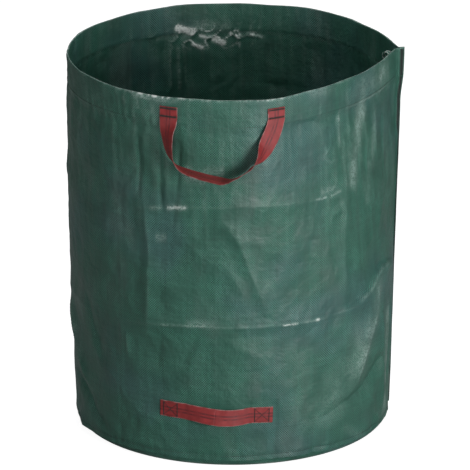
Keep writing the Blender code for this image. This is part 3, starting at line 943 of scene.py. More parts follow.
def wear(piece, body, slot, *nodes):
    """The piece rides on a body and stands for some solids. The slot is not used."""
    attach(piece, body)
    if nodes:
        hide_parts(*nodes)
    return piece


# %% [markdown]
# The wall cloth starts at the cut edge of the side seam, turns round a small fillet into the
# wall, goes all the way round, and comes back to the same seam. These are its columns. In height
# it rises from the foot to the rim, folds over, and comes down inside as the hem's inner ply.
# The rows are closer together beside the stitches and along the packing creases.

# %% Columns and rows of the wall cloth
WALL_FOOT = 0.0165
FLANGE_TOP = 0.0114
FLANGE_MIDDLE = 0.0088
FLANGE_LOW = 0.0040
FLANGE_FILLET = 0.0010
HOOP_THICKNESS = 0.0015
HEM_EDGE_DEPTH = 0.0026
FOOT_PIECE_TOP = 0.16
AROUND = 556
SEAM_HALF_TURN = 0.75
RIM_FOLD = 0.00175
FOLD_STARTS = BAG_HEIGHT - RIM_FOLD
FOLD_TURNS = (30.0, 60.0, 90.0, 120.0, 150.0, 180.0)
ROW_STEP = 0.00385
INNER_ROWS = 15
# each stretch of rows as (its lower end, the step in it)
ROW_STOPS = [
    (WALL_FOOT, .003), (.0345, ROW_STEP), (FOOT_PIECE_TOP, ROW_STEP), (.295, .0016),
    (.311, ROW_STEP), (.541, .0020), (.566, ROW_STEP), (.682, .0026), (HEM_EDGE, .0026),
    (.7325, ROW_STEP), (FOLD_STARTS, 0)]
# each column of the flange as (its turn, its share of the width, 0 where the two edges meet)
FLANGE_STEPS = [
    (90, 1.0, 0), (90, 1.0, 1), (90, 0.5, 1), (90, 0.0, 1), (60, 0.0, 1), (30, 0.0, 1), (0, 0.0, 1)]


def even_rows(low, high, step):
    return np.linspace(low, high, max(int(round((high - low) / step)), 1) + 1)


wall_turns = np.linspace(SEAM_HALF_TURN, 360 - SEAM_HALF_TURN, AROUND)
outer_rows = np.concatenate(
    [even_rows(low, high, step)[:-1] for (low, step), (high, _) in zip(ROW_STOPS, ROW_STOPS[1:])]
    + [[FOLD_STARTS]])
fold_rows = np.radians(FOLD_TURNS)
inner_rows = np.linspace(FOLD_STARTS, HEM_EDGE + CLOTH / 2, INNER_ROWS + 1)[1:]
row_height = np.concatenate([
    outer_rows, FOLD_STARTS + RIM_FOLD * np.sin(fold_rows), inner_rows])
row_inside = np.concatenate([
    np.zeros(len(outer_rows)), (1 - np.cos(fold_rows)) / 2, np.ones(len(inner_rows))])
row_run = np.concatenate([
    outer_rows, outer_rows[-1] + RIM_FOLD * fold_rows,
    outer_rows[-1] + pi * RIM_FOLD + (inner_rows[0] - inner_rows) + ROW_STEP])
print("rows:", len(row_height), "columns:", AROUND + 2 * len(FLANGE_STEPS))

# %% [markdown]
# Every place of the cloth follows from its column and its row. In the wall it lies on the
# outline, moved by its folds. The inner ply of the hem lies behind the strip, and it may only
# move inwards. In the flange both edges run out beside each other and end in one flat face. They
# wave slightly, because a raw sewn edge never stays straight.

# %% Places of the wall cloth
FLANGE_WAVES = ((0.0011, 41.0, 0.6), (0.0006, 97.0, 2.0))
FLANGE_FLARE = (0.690, 0.780)
DOUBLE_FROM = HEM_EDGE - 0.006
STRIP_STARTS = (0.6, 3.0)
STRIP_FOOT = HEM_EDGE + 0.0045
STRIP_ROOM = 2.5
RIM_WAVES = ((0.0009, 7, 0.5), (0.0005, 17, 0.0))
RIM_WAVES_FROM = HEM_EDGE + 0.02


def flange_width(height):
    width = FLANGE_LOW + (FLANGE_MIDDLE - FLANGE_LOW) * ramp(height, *SEAM_STEP)
    return width + (FLANGE_TOP - FLANGE_MIDDLE) * ramp(height, *FLANGE_FLARE)


def flange_half(height):
    """Half the flange's thickness: one ply of cloth each side, and two in the hem."""
    return SEAT_GAP / 2 + CLOTH + (CLOTH + SEAT_GAP) * ramp(height, DOUBLE_FROM, HEM_EDGE)


def flange_wave(height):
    """How far the flange's outer edge leans sideways."""
    return sines(height, *FLANGE_WAVES)


def seam_place(reach, across, height):
    """Points that far out along the seam's plane, and that far beside it."""
    turn = radians(SEAM_ANGLE)
    east = reach * cos(turn) - across * sin(turn)
    north = reach * sin(turn) + across * cos(turn)
    return np.stack([east, north, height], axis=-1)


def flange_places(side, step, inside, height):
    """One column of the flange, on one side of the seam plane, for all rows."""
    turn, share, apart = step
    depth = inside * (CLOTH + SEAT_GAP)
    bend = radians(turn)
    reach = outline(SEAM_ANGLE, height) + FLANGE_FILLET - (FLANGE_FILLET + depth) * cos(bend)
    reach = reach + share * (flange_width(height) - FLANGE_FILLET)
    beside = flange_half(height) + FLANGE_FILLET - (FLANGE_FILLET + depth) * sin(bend)
    across = side * beside * apart
    return seam_place(reach, across + share * flange_wave(height), height)


def wall_places(angle, inside, height):
    """All columns of the wall, from the foot over the rim and down inside."""
    plain = outline(angle, height)
    shift = cloth_shift(angle, height)
    beside_seam = ramp(np.abs(from_seam(angle)), *STRIP_STARTS)
    below_strip = 1 - ramp(height, HEM_EDGE, STRIP_FOOT)
    tunnel = CLOTH + SEAT_GAP + (HOOP_THICKNESS + SEAT_GAP * STRIP_ROOM) * beside_seam
    tunnel = tunnel + (HEM_EDGE_DEPTH - tunnel) * below_strip
    behind = -tunnel + np.clip(shift, MOST_IN, 0.0)
    wavy_rim = sines(np.radians(angle), *RIM_WAVES)
    lift = wavy_rim * ramp(height, RIM_WAVES_FROM, BAG_HEIGHT) * beside_seam
    return ring_place(angle, plain + shift * (1 - inside) + behind * inside, height + lift)


near_edge = [flange_places(1, step, row_inside, row_height) for step in FLANGE_STEPS]
far_edge = [flange_places(-1, step, row_inside, row_height) for step in reversed(FLANGE_STEPS)]
between = wall_places(SEAM_ANGLE + wall_turns[None, :], row_inside[:, None], row_height[:, None])
cloth_places = np.concatenate([np.stack(near_edge, axis=1), between, np.stack(far_edge, axis=1)], axis=1)
print("cloth places:", cloth_places.shape)

# %% [markdown]
# The UV map is measured in metres along the cloth: columns by their distance round the bag, rows
# by the run up, over the rim and down again. The normals come from the whole sheet, so that no
# line shows where it is later cut into pieces that move apart.

# %% Marks and normals of the wall cloth
FLANGE_TO_WALL = 0.0020
RIM_WEAR_AND_HIGHLIGHT = 0.30
RIM_HIGHLIGHT_TALL = 0.0030
RIM_HIGHLIGHT_RUN = outer_rows[-1] + RIM_FOLD * 0.8
LEAST_BROKEN = 0.15
# where the rim is paler, from wear and a painted highlight, as (angle, spread, how much more)
RIM_HIGHLIGHT_ANGLES = [
    (-113, 9.0, 1.60), (-74, 7.0, 0.80), (-92, 14.0, 0.35), (-60, 25.0, 0.15), (100, 30.0, 0.25)]

flange_run = np.array([0.0, 0.0012, 0.0065, 0.0118, 0.0123, 0.0129, 0.0134])
wall_run = flange_run[-1] + FLANGE_TO_WALL + np.radians(wall_turns - wall_turns[0]) * RIM_RADIUS
far_run = wall_run[-1] + FLANGE_TO_WALL + flange_run[-1] - flange_run[::-1]
column_run = np.concatenate([flange_run, wall_run, far_run])
cloth_marks = np.stack(np.meshgrid(column_run, row_run), axis=-1)


def sheet_normals(places):
    """Normals of a placed sheet, from its neighbours along both directions."""
    normals = np.cross(np.gradient(places, axis=1), np.gradient(places, axis=0))
    length = np.linalg.norm(normals, axis=2, keepdims=True)
    return normals / np.maximum(length, 1e-12)


cloth_normals = sheet_normals(cloth_places)
flange_angle = np.full(len(flange_run), SEAM_ANGLE)
column_angle = np.concatenate([flange_angle, SEAM_ANGLE + wall_turns, flange_angle])
cloth_crease_and_highlight = pale_and_highlight_mark(column_angle[None, :], row_height[:, None])
# the rounded top of the rim is paler: a painted highlight where it catches the lamps, and wear
rim_wear_and_highlight = np.full(len(column_angle), RIM_WEAR_AND_HIGHLIGHT)
for middle, spread, extra in RIM_HIGHLIGHT_ANGLES:
    rim_wear_and_highlight += extra * np.exp(-(turn_between(middle, column_angle) / spread) ** 2)
over_rim = np.exp(-((row_run - RIM_HIGHLIGHT_RUN) / RIM_HIGHLIGHT_TALL) ** 2)
broken = np.clip(0.55 + 0.5 * puckers(column_angle, 0.5), LEAST_BROKEN, 1.0)
cloth_crease_and_highlight = np.clip(cloth_crease_and_highlight + over_rim[:, None] * (rim_wear_and_highlight * broken)[None, :], 0, PALEST_MARK)

# %% [markdown]
# The mouth can be pushed down towards the base. The hem keeps its shape and goes down with it,
# and the foot of the wall stays where it is.
# So the one sheet is cut into three pieces along two rows that they share.

# %% The wall cloth in three pieces
foot_row = int(np.argmin(np.abs(outer_rows - FOOT_PIECE_TOP)))
hem_row = int(np.argmin(np.abs(outer_rows - HEM_EDGE)))


def wall_piece(name, first, last):
    rows = slice(first, last)
    return placed_sheet(
        name, cloth_places[rows], cloth_marks[rows], cloth_finish,
        crease_and_highlight=cloth_crease_and_highlight[rows], normals=cloth_normals[rows])


def squeeze(piece):
    """Gives the piece a mesh of its own."""
    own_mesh(piece)


bag_foot = wear(wall_piece("bag_foot", 0, foot_row + 1), "root", "cloth", "wall_panel")
bag_wall = wear(wall_piece("bag_wall", foot_row, hem_row + 1), "root", "cloth", "wall_panel")
bag_hem = wear(wall_piece("bag_hem", hem_row, len(row_height)), "rim", "cloth", "rim_hem")
squeeze(bag_wall)

# %% [markdown]
# The base is one round of the same cloth. Its edge turns up inside the wall's foot, where the
# two are sewn together, and the turn makes the bag's rounded bottom corner. It lies on the
# ground, so its ripples only rise from it. Its weave runs straight across the round.

# %% Base
BASE_CORNER = 0.020
BASE_UPSTAND = 0.034
BASE_COLUMNS = 360
BASE_RINGS = 66
BASE_RISES = (0.0245, 0.0290, BASE_UPSTAND)
BASE_FACET = 0.0013
BASE_FACET_IN = 0.0008
BASE_MOST_OUT = 0.0002
BASE_FOLLOWS_WALL = 0.6
CORNER_MOVES = (0.0006, 0.012)
CORNER_FACETS_END = (0.012, 0.022)
BASE_RIPPLE = 0.0030
RIPPLE_TOP = 0.8
RIPPLES_END = (0.22, 0.30)
FOOT_WORN = 0.35
FOOT_WORN_HEIGHT = 0.004
FOOT_WORN_TALL = 0.003


def base_section():
    """The middle of the base's cloth from the axis to the upturned edge: reach, height and run.
    The edge stands inside the wall's cloth, with a gap between them."""
    inset = CLOTH + CLOTH / 2 + SEAT_GAP
    bend = BASE_CORNER - CLOTH / 2
    flat = float(bag_radius(BASE_CORNER)) - inset - bend
    reach = list(np.linspace(0, flat, BASE_RINGS))
    height = [CLOTH / 2] * BASE_RINGS
    for turn in np.radians(np.linspace(10, 90, 9)):
        reach.append(flat + bend * sin(turn))
        height.append(BASE_CORNER - bend * cos(turn))
    for rise in BASE_RISES:
        reach.append(float(bag_radius(rise)) - inset)
        height.append(rise)
    reach, height = np.array(reach), np.array(height)
    run = np.concatenate([[0], np.cumsum(np.hypot(np.diff(reach), np.diff(height)))])
    return reach, height, run


def base_places():
    angle = np.linspace(-180, 180, BASE_COLUMNS + 1)[None, :]
    reach, height, run = [part[:, None] for part in base_section()]
    edge = np.minimum(cloth_shift(angle, 0.030) * BASE_FOLLOWS_WALL, BASE_MOST_OUT)
    facets = BASE_FACET * broad_facets(angle, 0.01) - BASE_FACET_IN
    facets = facets * (1 - ramp(height, *CORNER_FACETS_END))
    reach = reach + (edge + facets) * ramp(height, *CORNER_MOVES)
    flat = ring_place(angle, reach, 0.0)
    wave = sines(flat[..., 0], (1.0, 19, 1.2)) + sines(flat[..., 1], (1.0, 23, 0.3))
    ripple = np.clip(RIPPLE_TOP - np.abs(wave), 0, 1)
    rise = BASE_RIPPLE * ripple * (1 - ramp(reach, *RIPPLES_END)) * ramp(reach, 0.0, 0.02)
    marks = ring_place(angle, run, 0.0)[..., :2]
    return ring_place(angle, reach, height + rise), marks


base_grid, base_marks = base_places()
base_crease = FOOT_WORN * np.exp(-((base_grid[..., 2] - FOOT_WORN_HEIGHT) / FOOT_WORN_TALL) ** 2)
base = placed_sheet("bag_base", base_grid, base_marks, cloth_finish, crease_and_highlight=base_crease, weld=True)
wear(base, "root", "cloth", "base_panel")
base_width = 2 * float(base_section()[2][-1])
print("base cut from a round", round(base_width, 3), "m across")

# %% [markdown]
# The strip inside the hem is smooth black plastic. It only shows if the cloth is taken away, so
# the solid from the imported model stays, with a finish of faint lines along the strip from the
# die that it was drawn through. Round the bag, a place's height alone tells those lines apart.

# %% Sprung strip in the hem
STRIP_BLACK = (0.030, 0.032, 0.034, 1.0)
STRIP_SCUFFED = (0.085, 0.087, 0.090, 1.0)
DIE_LINE_RELIEF = 0.00012


def make_strip_finish():
    material, nodes, shader = new_finish("drawn_plastic", 0.45)
    place = nodes.add("ShaderNodeTexCoord", output="Object")
    lines = nodes.noise(place, 90.0, detail=3.0, stretch=(0.02, 0.02, 14.0))
    scuffs = nodes.noise(place, 60.0, detail=5.0)
    colour = nodes.mix(scuffs.span(0.60, 0.72) * 0.4, STRIP_BLACK, STRIP_SCUFFED)
    nodes.show(shader, colour, lines * 0.2 + scuffs * 0.25 + 0.22, lines * DIE_LINE_RELIEF)
    return material


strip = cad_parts["rim_hoop"]
strip.data.materials.clear()
strip.data.materials.append(make_strip_finish())
print("strip finish on", strip.name)

# %% [markdown]
# Sewing thread is seen as a row of short raised stitches, each dipping into the cloth at both
# ends. A stitch is a squashed ball of only thirty faces, because there are about three thousand
# of them. One function makes a stitch between any two points, and the rows below call it.

# %% Stitches
STITCH_PITCH = 0.0050
STITCH_SHARE = 0.74
STITCH_WANDER = ((0.0006, 5, 0.0), (0.0003, 13, 0.0))
UNSEWN = 2.4
HEM_STITCHES_ABOVE = 0.0012
THREAD_WIDE = 0.00095
THREAD_HIGH = 0.00090
THREAD_RAISED = 0.30
THREAD_DARK = (0.006, 0.010, 0.010, 1.0)
THREAD_LIGHT = (0.026, 0.036, 0.033, 1.0)
TWIST_RELIEF = 0.00010
LOT = 50


def make_thread_finish():
    material, nodes, shader = new_finish("twisted_thread", 0.55)
    place = nodes.add("ShaderNodeTexCoord", output="Object")
    settings = {"Vector": place, "Scale": 900.0, "Distortion": 2.0}
    twist = nodes.add("ShaderNodeTexWave", None, settings, output=1)
    shade = nodes.noise(place, 300.0)
    colour = nodes.mix(twist * 0.5 + shade * 0.4, THREAD_DARK, THREAD_LIGHT)
    nodes.show(shader, colour, shade * 0.2 + 0.45, twist * TWIST_RELIEF)
    return material


thread_finish = make_thread_finish()


def add_stitch(shape, start, end, normal):
    """One stitch from start to end, its lower side sunk into the cloth."""
    start, end, normal = Vector(start), Vector(end), Vector(normal).normalized()
    along = (end - start).normalized()
    side = normal.cross(along).normalized()
    up = along.cross(side)
    matrix = Matrix((
        (*(along * (end - start).length), 0), (*(side * THREAD_WIDE), 0), (*(up * THREAD_HIGH), 0),
        (*((start + end) / 2 + up * THREAD_HIGH * THREAD_RAISED), 1))).transposed()
    bmesh.ops.create_uvsphere(shape, u_segments=6, v_segments=5, radius=0.5, matrix=matrix)


def stitched(name, stitches, body, *nodes):
    """A piece made of stitches, each given as (start, end, normal). They are made in small lots,
    because an operator takes longer the more there already is in its mesh."""
    mesh = bpy.data.meshes.new(name)
    whole = bmesh.new()
    for first in range(0, len(stitches), LOT):
        lot = bmesh.new()
        for start, end, normal in stitches[first:first + LOT]:
            add_stitch(lot, start, end, normal)
        lot.to_mesh(mesh)
        lot.free()
        whole.from_mesh(mesh)
    whole.to_mesh(mesh)
    whole.free()
    mesh.shade_smooth()
    mesh.materials.append(thread_finish)
    print(name, len(stitches), "stitches")
    return wear(add_object(name, mesh), body, "thread", *nodes)


def seam_round(height):
    """Stitches round the wall at one height, which wander a little up and down."""
    count = int(round(2 * pi * float(bag_radius(height)) / STITCH_PITCH))
    sewn = 360 - 2 * UNSEWN
    middle = SEAM_ANGLE + UNSEWN + sewn * (np.arange(count) + 0.5) / count
    half = sewn / count * STITCH_SHARE / 2
    height = height + sines(np.radians(middle), *STITCH_WANDER)
    start, end = wall_surface(middle - half, height), wall_surface(middle + half, height)
    upward = wall_surface(middle, height + 0.001) - wall_surface(middle, height - 0.001)
    return list(zip(start, end, np.cross(end - start, upward)))


hem_row_stitches = seam_round(HEM_THREAD_HEIGHT + HEM_STITCHES_ABOVE)
stitched("hem_stitches", hem_row_stitches, "rim", "hem_stitching")
stitched("base_stitches", seam_round(BASE_THREAD_HEIGHT), "root", "base_seam_stitching")

# %% [markdown]
# The raw edges of the side seam are bound together with a dense dark zigzag of thread, which
# stops the tapes from fraying. It makes a dark band on both faces of the flange, over nearly all
# its width. It is parted at the same two heights as the cloth, and each part moves with the cloth.

# %% Side seam stitches
BINDING_PITCH = 0.0017
BINDING_SHARE = 0.92
BINDING_INSET = 0.0001
BINDING_FOOT = 0.018
BINDING_TOP = 0.777
UNDER_CUT = 0.001
OVER_CUT = 0.0005


def flange_points(side, height, inset):
    """Points on one face of the flange, that far in from its edge."""
    width = flange_width(height)
    share = (width - FLANGE_FILLET - inset) / (width - FLANGE_FILLET)
    reach = outline(SEAM_ANGLE, height) + width - inset
    return seam_place(reach, side * flange_half(height) + share * flange_wave(height), height)


def binding(low, high):
    """Zigzag stitches on both faces of the flange between two heights."""
    height = low + (high - low) * np.linspace(0, 1, int((high - low) / BINDING_PITCH * 2) + 1)
    inner = np.arange(len(height)) % 2
    stitches = []
    for side in (-1, 1):
        inset = BINDING_INSET + inner * BINDING_SHARE * flange_width(height)
        points = flange_points(side, height, inset)
        facing = Vector((-sin(radians(SEAM_ANGLE)), cos(radians(SEAM_ANGLE)), 0)) * side
        stitches += [(a, b, facing) for a, b in zip(points, points[1:])]
    return stitches


low_binding = binding(BINDING_FOOT, FOOT_PIECE_TOP)
middle_binding = binding(FOOT_PIECE_TOP, HEM_EDGE - UNDER_CUT)
top_binding = binding(HEM_EDGE + OVER_CUT, BINDING_TOP)
stitched("side_stitches_low", low_binding, "root", "side_seam_stitching")
squeeze(stitched("side_stitches_middle", middle_binding, "root"))
stitched("side_stitches_top", top_binding, "rim")

# %% [markdown]
# The handles are woven red webbing with two dark stripes along the middle and pale selvedges.
# Across its width the webbing is a row of fine ribs, and along each rib the threads show as
# short slanted lumps that lean the other way on the next rib. The UV map gives the distance from
# the centre line and the run along the strap, both in metres.

# %% Webbing
RIB = 0.0019
LUMP = 0.0017
WEB_RED = (0.262, 0.020, 0.021, 1.0)
WEB_DARK = (0.100, 0.008, 0.011, 1.0)
WEB_PALE = (0.300, 0.180, 0.170, 1.0)
STRIPE_INNER = 0.0015
STRIPE_OUTER = 0.0050
STRIPE_SOFT = 0.0008
SELVEDGE = 0.0012
WHOLE_RIBS = 400.0
WHOLE_LUMPS = 900.0
RIB_LEAN = 0.9
RIB_RELIEF = 0.00030
FUZZ_RELIEF = 0.00012
WEB_UNEVEN = 0.00030


def make_webbing_finish(name, width):
    material, nodes, shader = new_finish(name, 0.50, coat=0.10, coat_roughness=0.35)
    place = nodes.add("ShaderNodeUVMap", {"uv_map": "cloth"})
    across, along = nodes.parts(place)
    off = abs(across)
    stripe = off.span(STRIPE_INNER - STRIPE_SOFT, STRIPE_INNER + STRIPE_SOFT)
    stripe = stripe * (1 - off.span(STRIPE_OUTER - STRIPE_SOFT, STRIPE_OUTER + STRIPE_SOFT))
    edge = off.span(width / 2 - SELVEDGE - STRIPE_SOFT / 2, width / 2 - SELVEDGE + STRIPE_SOFT / 2)
    cloudy = nodes.noise(place, 70.0, detail=4.0)
    stripe = stripe * cloudy.span(0.30, 0.62)
    edge = edge * cloudy.span(0.36, 0.60)
    ribs = across / RIB + WHOLE_RIBS
    inside_rib = abs(ribs.math("FRACT") - 0.5) * 2.0
    lean = ((ribs.math("FLOOR") % 2.0) * 2.0 - 1.0) * (ribs.math("FRACT") - 0.5)
    lumps = abs((along / LUMP + lean * RIB_LEAN + WHOLE_LUMPS).math("FRACT") - 0.5) * 2.0
    height = (1 - inside_rib ** 3.0) * 0.6 + (1 - lumps ** 2.0) * 0.4
    fuzz = nodes.noise(place, 900.0, detail=3.0)
    colour = nodes.mix(stripe, WEB_RED, WEB_DARK)
    colour = nodes.mix(edge, colour, WEB_PALE)
    # painted shade: the colour is darker in the grooves between ribs and lumps and lighter on their tops
    tone = height * 0.42 + (fuzz - 0.5) * 0.50 + (cloudy - 0.5) * 1.00 + 0.66
    colour = nodes.mix(1.0, colour, tone, "MULTIPLY")
    relief = height * RIB_RELIEF + fuzz * FUZZ_RELIEF + cloudy * WEB_UNEVEN
    nodes.show(shader, colour, fuzz * 0.25 + 0.40, relief, WOVEN_BUMP)
    return material


WEB_WIDTH = 0.038
LOWER_WEB_WIDTH = 0.034
WEB_THICKNESS = 0.0015
upper_webbing = make_webbing_finish("webbing_38", WEB_WIDTH)
lower_webbing = make_webbing_finish("webbing_34", LOWER_WEB_WIDTH)
print("webbing", WEB_WIDTH, "and", LOWER_WEB_WIDTH, "m wide")

# %% [markdown]
# A strap is a sheet wrapped round a flat section with soft edges. It is given by its centre line
# and, at each point, the direction across its width. The thickness direction follows from those
# two. The grid's two long edges meet at one side of the strap and are merged there, and its cut
# ends are capped.

# %% A strap from its centre line
STRAP_CELLS = 16
ACROSS_POWER = 0.75
THROUGH_POWER = 0.28


def strap_section(width):
    """Points round the strap's section as (across, through), starting and ending at one edge."""
    turn = np.linspace(0, 2 * pi, 2 * STRAP_CELLS + 1)
    across, through = np.cos(turn), np.sin(turn)
    across = width / 2 * np.sign(across) * np.abs(across) ** ACROSS_POWER
    through = WEB_THICKNESS / 2 * np.sign(through) * np.abs(through) ** THROUGH_POWER
    through[[0, STRAP_CELLS, -1]] = 0.0
    return across, through


def run_along(points):
    """How far along a line each of its points is."""
    return np.concatenate([[0], np.cumsum(np.linalg.norm(np.diff(points, axis=0), axis=1))])


def strap(name, centre, across, width, finish, run=None, cup=None):
    """A strap along centre[i], its width along across[i]. Its edges bend over by cup[i]."""
    along = unit(np.gradient(centre, axis=0))
    across = unit(across - along * np.sum(across * along, axis=1, keepdims=True))
    through = np.cross(along, across)
    if run is None:
        run = run_along(centre)
    over, deep = strap_section(width)
    places = centre[None] + across[None] * over[:, None, None] + through[None] * deep[:, None, None]
    if cup is not None:
        places = places + cup[None] * (over[:, None, None] / (width / 2)) ** 2
    marks = np.stack(np.broadcast_arrays(over[:, None], run[None, :]), axis=-1)
    return placed_sheet(name, places, marks, finish, weld=True, cap=True)


print("strap section:", 2 * STRAP_CELLS, "faces round")

# %% [markdown]
# Each carrying handle hangs from the hem by its two sewn ends. Its line is drawn on the wall as
# (distance along it, height): two smooth curves that meet low down, just left of the middle.
# Webbing doesn't bend sideways in its own plane, so to go round it twists until it stands on
# edge. The two lists of twists give, by the run from each end of the loop, how many degrees it
# has turned from lying flat.

# %% The carrying handles' line
HANDLE_SPREAD = 0.218
HANDLE_TOP = 0.7605
LOOP_TOP = 0.7362
LOOP_LOW = LOOP_TOP - 0.117
CURVES_MEET = (-.003, LOOP_LOW + .0025)
LEFT_CURVE = [
    (-HANDLE_SPREAD / 2, LOOP_TOP), (-.104, LOOP_LOW + .023), (-.098, LOOP_LOW + .024), CURVES_MEET]
RIGHT_CURVE = [
    CURVES_MEET, (.032, LOOP_LOW - .0055), (.085, LOOP_LOW + .046), (HANDLE_SPREAD / 2, LOOP_TOP)]
LEFT_TWISTS = [(0, 0), (.015, 8), (.029, 29), (.050, 40), (.070, 50), (.090, 66), (.110, 86), (.140, 91),
               (.165, 92), (.185, 95), (.205, 76), (.235, 72)]
RIGHT_TWISTS = [(.104, 80), (.090, 62), (.076, 36), (.060, 12), (.042, 3), (0, 0)]
CURVE_POINTS = 80
STRAP_STEP = 0.003


def bezier(points):
    """Points on a cubic curve with those four control points."""
    t = np.linspace(0, 1, CURVE_POINTS)[:, None]
    a, b, c, d = [np.array(point) for point in points]
    return a * (1 - t) ** 3 + 3 * b * t * (1 - t) ** 2 + 3 * c * t * t * (1 - t) + d * t ** 3


def even_steps(line, step):
    """The same line with its points a given step apart, and the run along it."""
    run = run_along(line)
    new_run = np.linspace(0, run[-1], int(round(run[-1] / step)) + 1)
    return np.stack([np.interp(new_run, run, line[:, k]) for k in range(line.shape[1])], axis=1), new_run


def soften(values, times=4):
    """Rounds the corners of a list of values, keeping its ends."""
    for _ in range(times):
        values[1:-1] = (values[:-2] + 2 * values[1:-1] + values[2:]) / 4
    return values


loop, loop_run = even_steps(np.vstack([bezier(LEFT_CURVE), bezier(RIGHT_CURVE)[1:]]), STRAP_STEP)
twist_runs = [run for run, _ in LEFT_TWISTS] + [loop_run[-1] - run for run, _ in RIGHT_TWISTS]
twist_turns = [turn for _, turn in LEFT_TWISTS] + [turn for _, turn in RIGHT_TWISTS]
loop_twist = soften(np.interp(loop_run, twist_runs, twist_turns))
print("loop is", round(float(loop_run[-1]), 3), "m long")

# %% [markdown]
# The two sewn ends and the loop are one length of webbing. The ends lie flat on the hem. Where
# the strap stands on edge, its inner edge stays just off the cloth, so its centre stands off by
# half its width. Just below the ends it keeps to the hem, and further down it goes with the loop.

# %% Carrying handles
END_STEPS = 8
LOOP_CLEARANCE = 0.0024
LOOP_FREE_AFTER = 0.02
TURN_STEP = 1
RISE_STEP = 0.01


def wall_directions(angle, height):
    """Outward directions of the plain wall at some places."""
    places = []
    for turn, rise in ((TURN_STEP, 0), (-TURN_STEP, 0), (0, RISE_STEP), (0, -RISE_STEP)):
        reach = outline(angle + turn, height + rise)
        places.append(ring_place(angle + turn, reach, height + rise))
    east, west, over, under = places
    return unit(np.cross(east - west, over - under))


def handle_strap(middle):
    """Centre line and across directions of one carrying handle, from end to end."""
    rise = np.linspace(HANDLE_TOP, LOOP_TOP, END_STEPS)[:-1]
    left = np.stack([np.full(len(rise), -HANDLE_SPREAD / 2), rise], axis=1)
    line = np.vstack([left, loop, left[::-1] * (-1, 1)])
    flat = np.zeros(len(left))
    twist = np.radians(np.concatenate([flat, loop_twist, flat]))
    from_end = np.minimum(loop_run, loop_run[-1] - loop_run)
    free = np.concatenate([flat, ramp(from_end, 0, LOOP_FREE_AFTER), flat])
    angle = middle + np.degrees(line[:, 0] / RIM_RADIUS)
    height = line[:, 1]
    outward = wall_directions(angle, height)
    shift = cloth_shift(angle, height)
    lift = np.maximum(shift, 0) * free + shift * (1 - free) + LOOP_CLEARANCE * free
    lift = soften(lift, times=10)
    out = SEAT_GAP + WEB_THICKNESS / 2 + WEB_WIDTH / 2 * np.sin(twist) + lift
    centre = ring_place(angle, outline(angle, height), height) + outward * out[:, None]
    inward = np.cross(outward, unit(np.gradient(centre, axis=0)))
    across = inward * np.cos(twist)[:, None] + outward * np.sin(twist)[:, None]
    round_wall = (WEB_WIDTH / 2) ** 2 / (2 * RIM_RADIUS) * (1 - free)
    return centre, across, -outward * round_wall[:, None]


for word, middle in CARRYING_HANDLES:
    centre, across, cup = handle_strap(middle)
    handle = strap("carrying_handle_" + word, centre, across, WEB_WIDTH, upper_webbing, cup=cup)
    nodes = [f"upper_handle_{word}_{part}" for part in ("left_end", "right_end", "loop")]
    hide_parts(*nodes)
    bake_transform(handle)

# %% [markdown]
# Each end is fastened with two bar tacks. A bar tack is a dense zigzag of thread, so from afar it
# looks like a solid dark bar across the webbing. Its points lie by turns above and below a line.

# %% Bar tacks
TACK_PITCH = 0.0010
TACK_HALF = 0.0028
TACK_WIDTH = 0.035
TACK_HEIGHTS = (0.7570, 0.7405)


def bar_tack(middle, along, height):
    """A zigzag of stitches across the webbing, on its outer face."""
    step = np.arange(int(TACK_WIDTH / TACK_PITCH) + 1)
    across = along - TACK_WIDTH / 2 + step * TACK_PITCH
    angle = middle + np.degrees(across / RIM_RADIUS)
    height = height + TACK_HALF * (-1.0) ** step
    outward = wall_directions(angle, height)
    points = wall_surface(angle, height) + outward * (SEAT_GAP + WEB_THICKNESS)
    return list(zip(points, points[1:], outward))


for word, middle in CARRYING_HANDLES:
    for end, side in LEFT_AND_RIGHT:
        along = side * HANDLE_SPREAD / 2
        tacks = [stitch for height in TACK_HEIGHTS for stitch in bar_tack(middle, along, height)]
        node = f"upper_handle_{word}_{end}_stitching"
        stitched(f"tacks_{word}_{end}", tacks, "rim", node)

# %% [markdown]
# The lower handle is for tipping the bag out. Its webbing lies nearly level, bows a little to let
# fingers behind it, and is sewn flat to the wall at both ends. It is made in two halves that meet
# at the middle.

# %% Lower handle
LOWER_HANDLE_LENGTH = 0.228
LOWER_END_LENGTH = 0.044
LOWER_HANDLE_TILT = 1.8
LOWER_BOW = 0.010
LOWER_CLEARANCE = 0.0012
LOWER_CLEAR_FROM = 0.002
LOWER_SAG = 0.0030
LOWER_SKEW = 0.0016
LOWER_LEAN = 0.22
LOWER_STEPS = 80


def lower_place(along, up, out):
    """A point in front of the wall, from the lower handle's middle."""
    tilt = radians(LOWER_HANDLE_TILT)
    height = LOWER_HANDLE_HEIGHT - along * np.sin(tilt) + up * np.cos(tilt)
    turn = (along * np.cos(tilt) + up * np.sin(tilt)) / BASE_RADIUS * 180 / pi
    angle = LOWER_HANDLE_ANGLE + turn
    return wall_surface(angle, height, out)


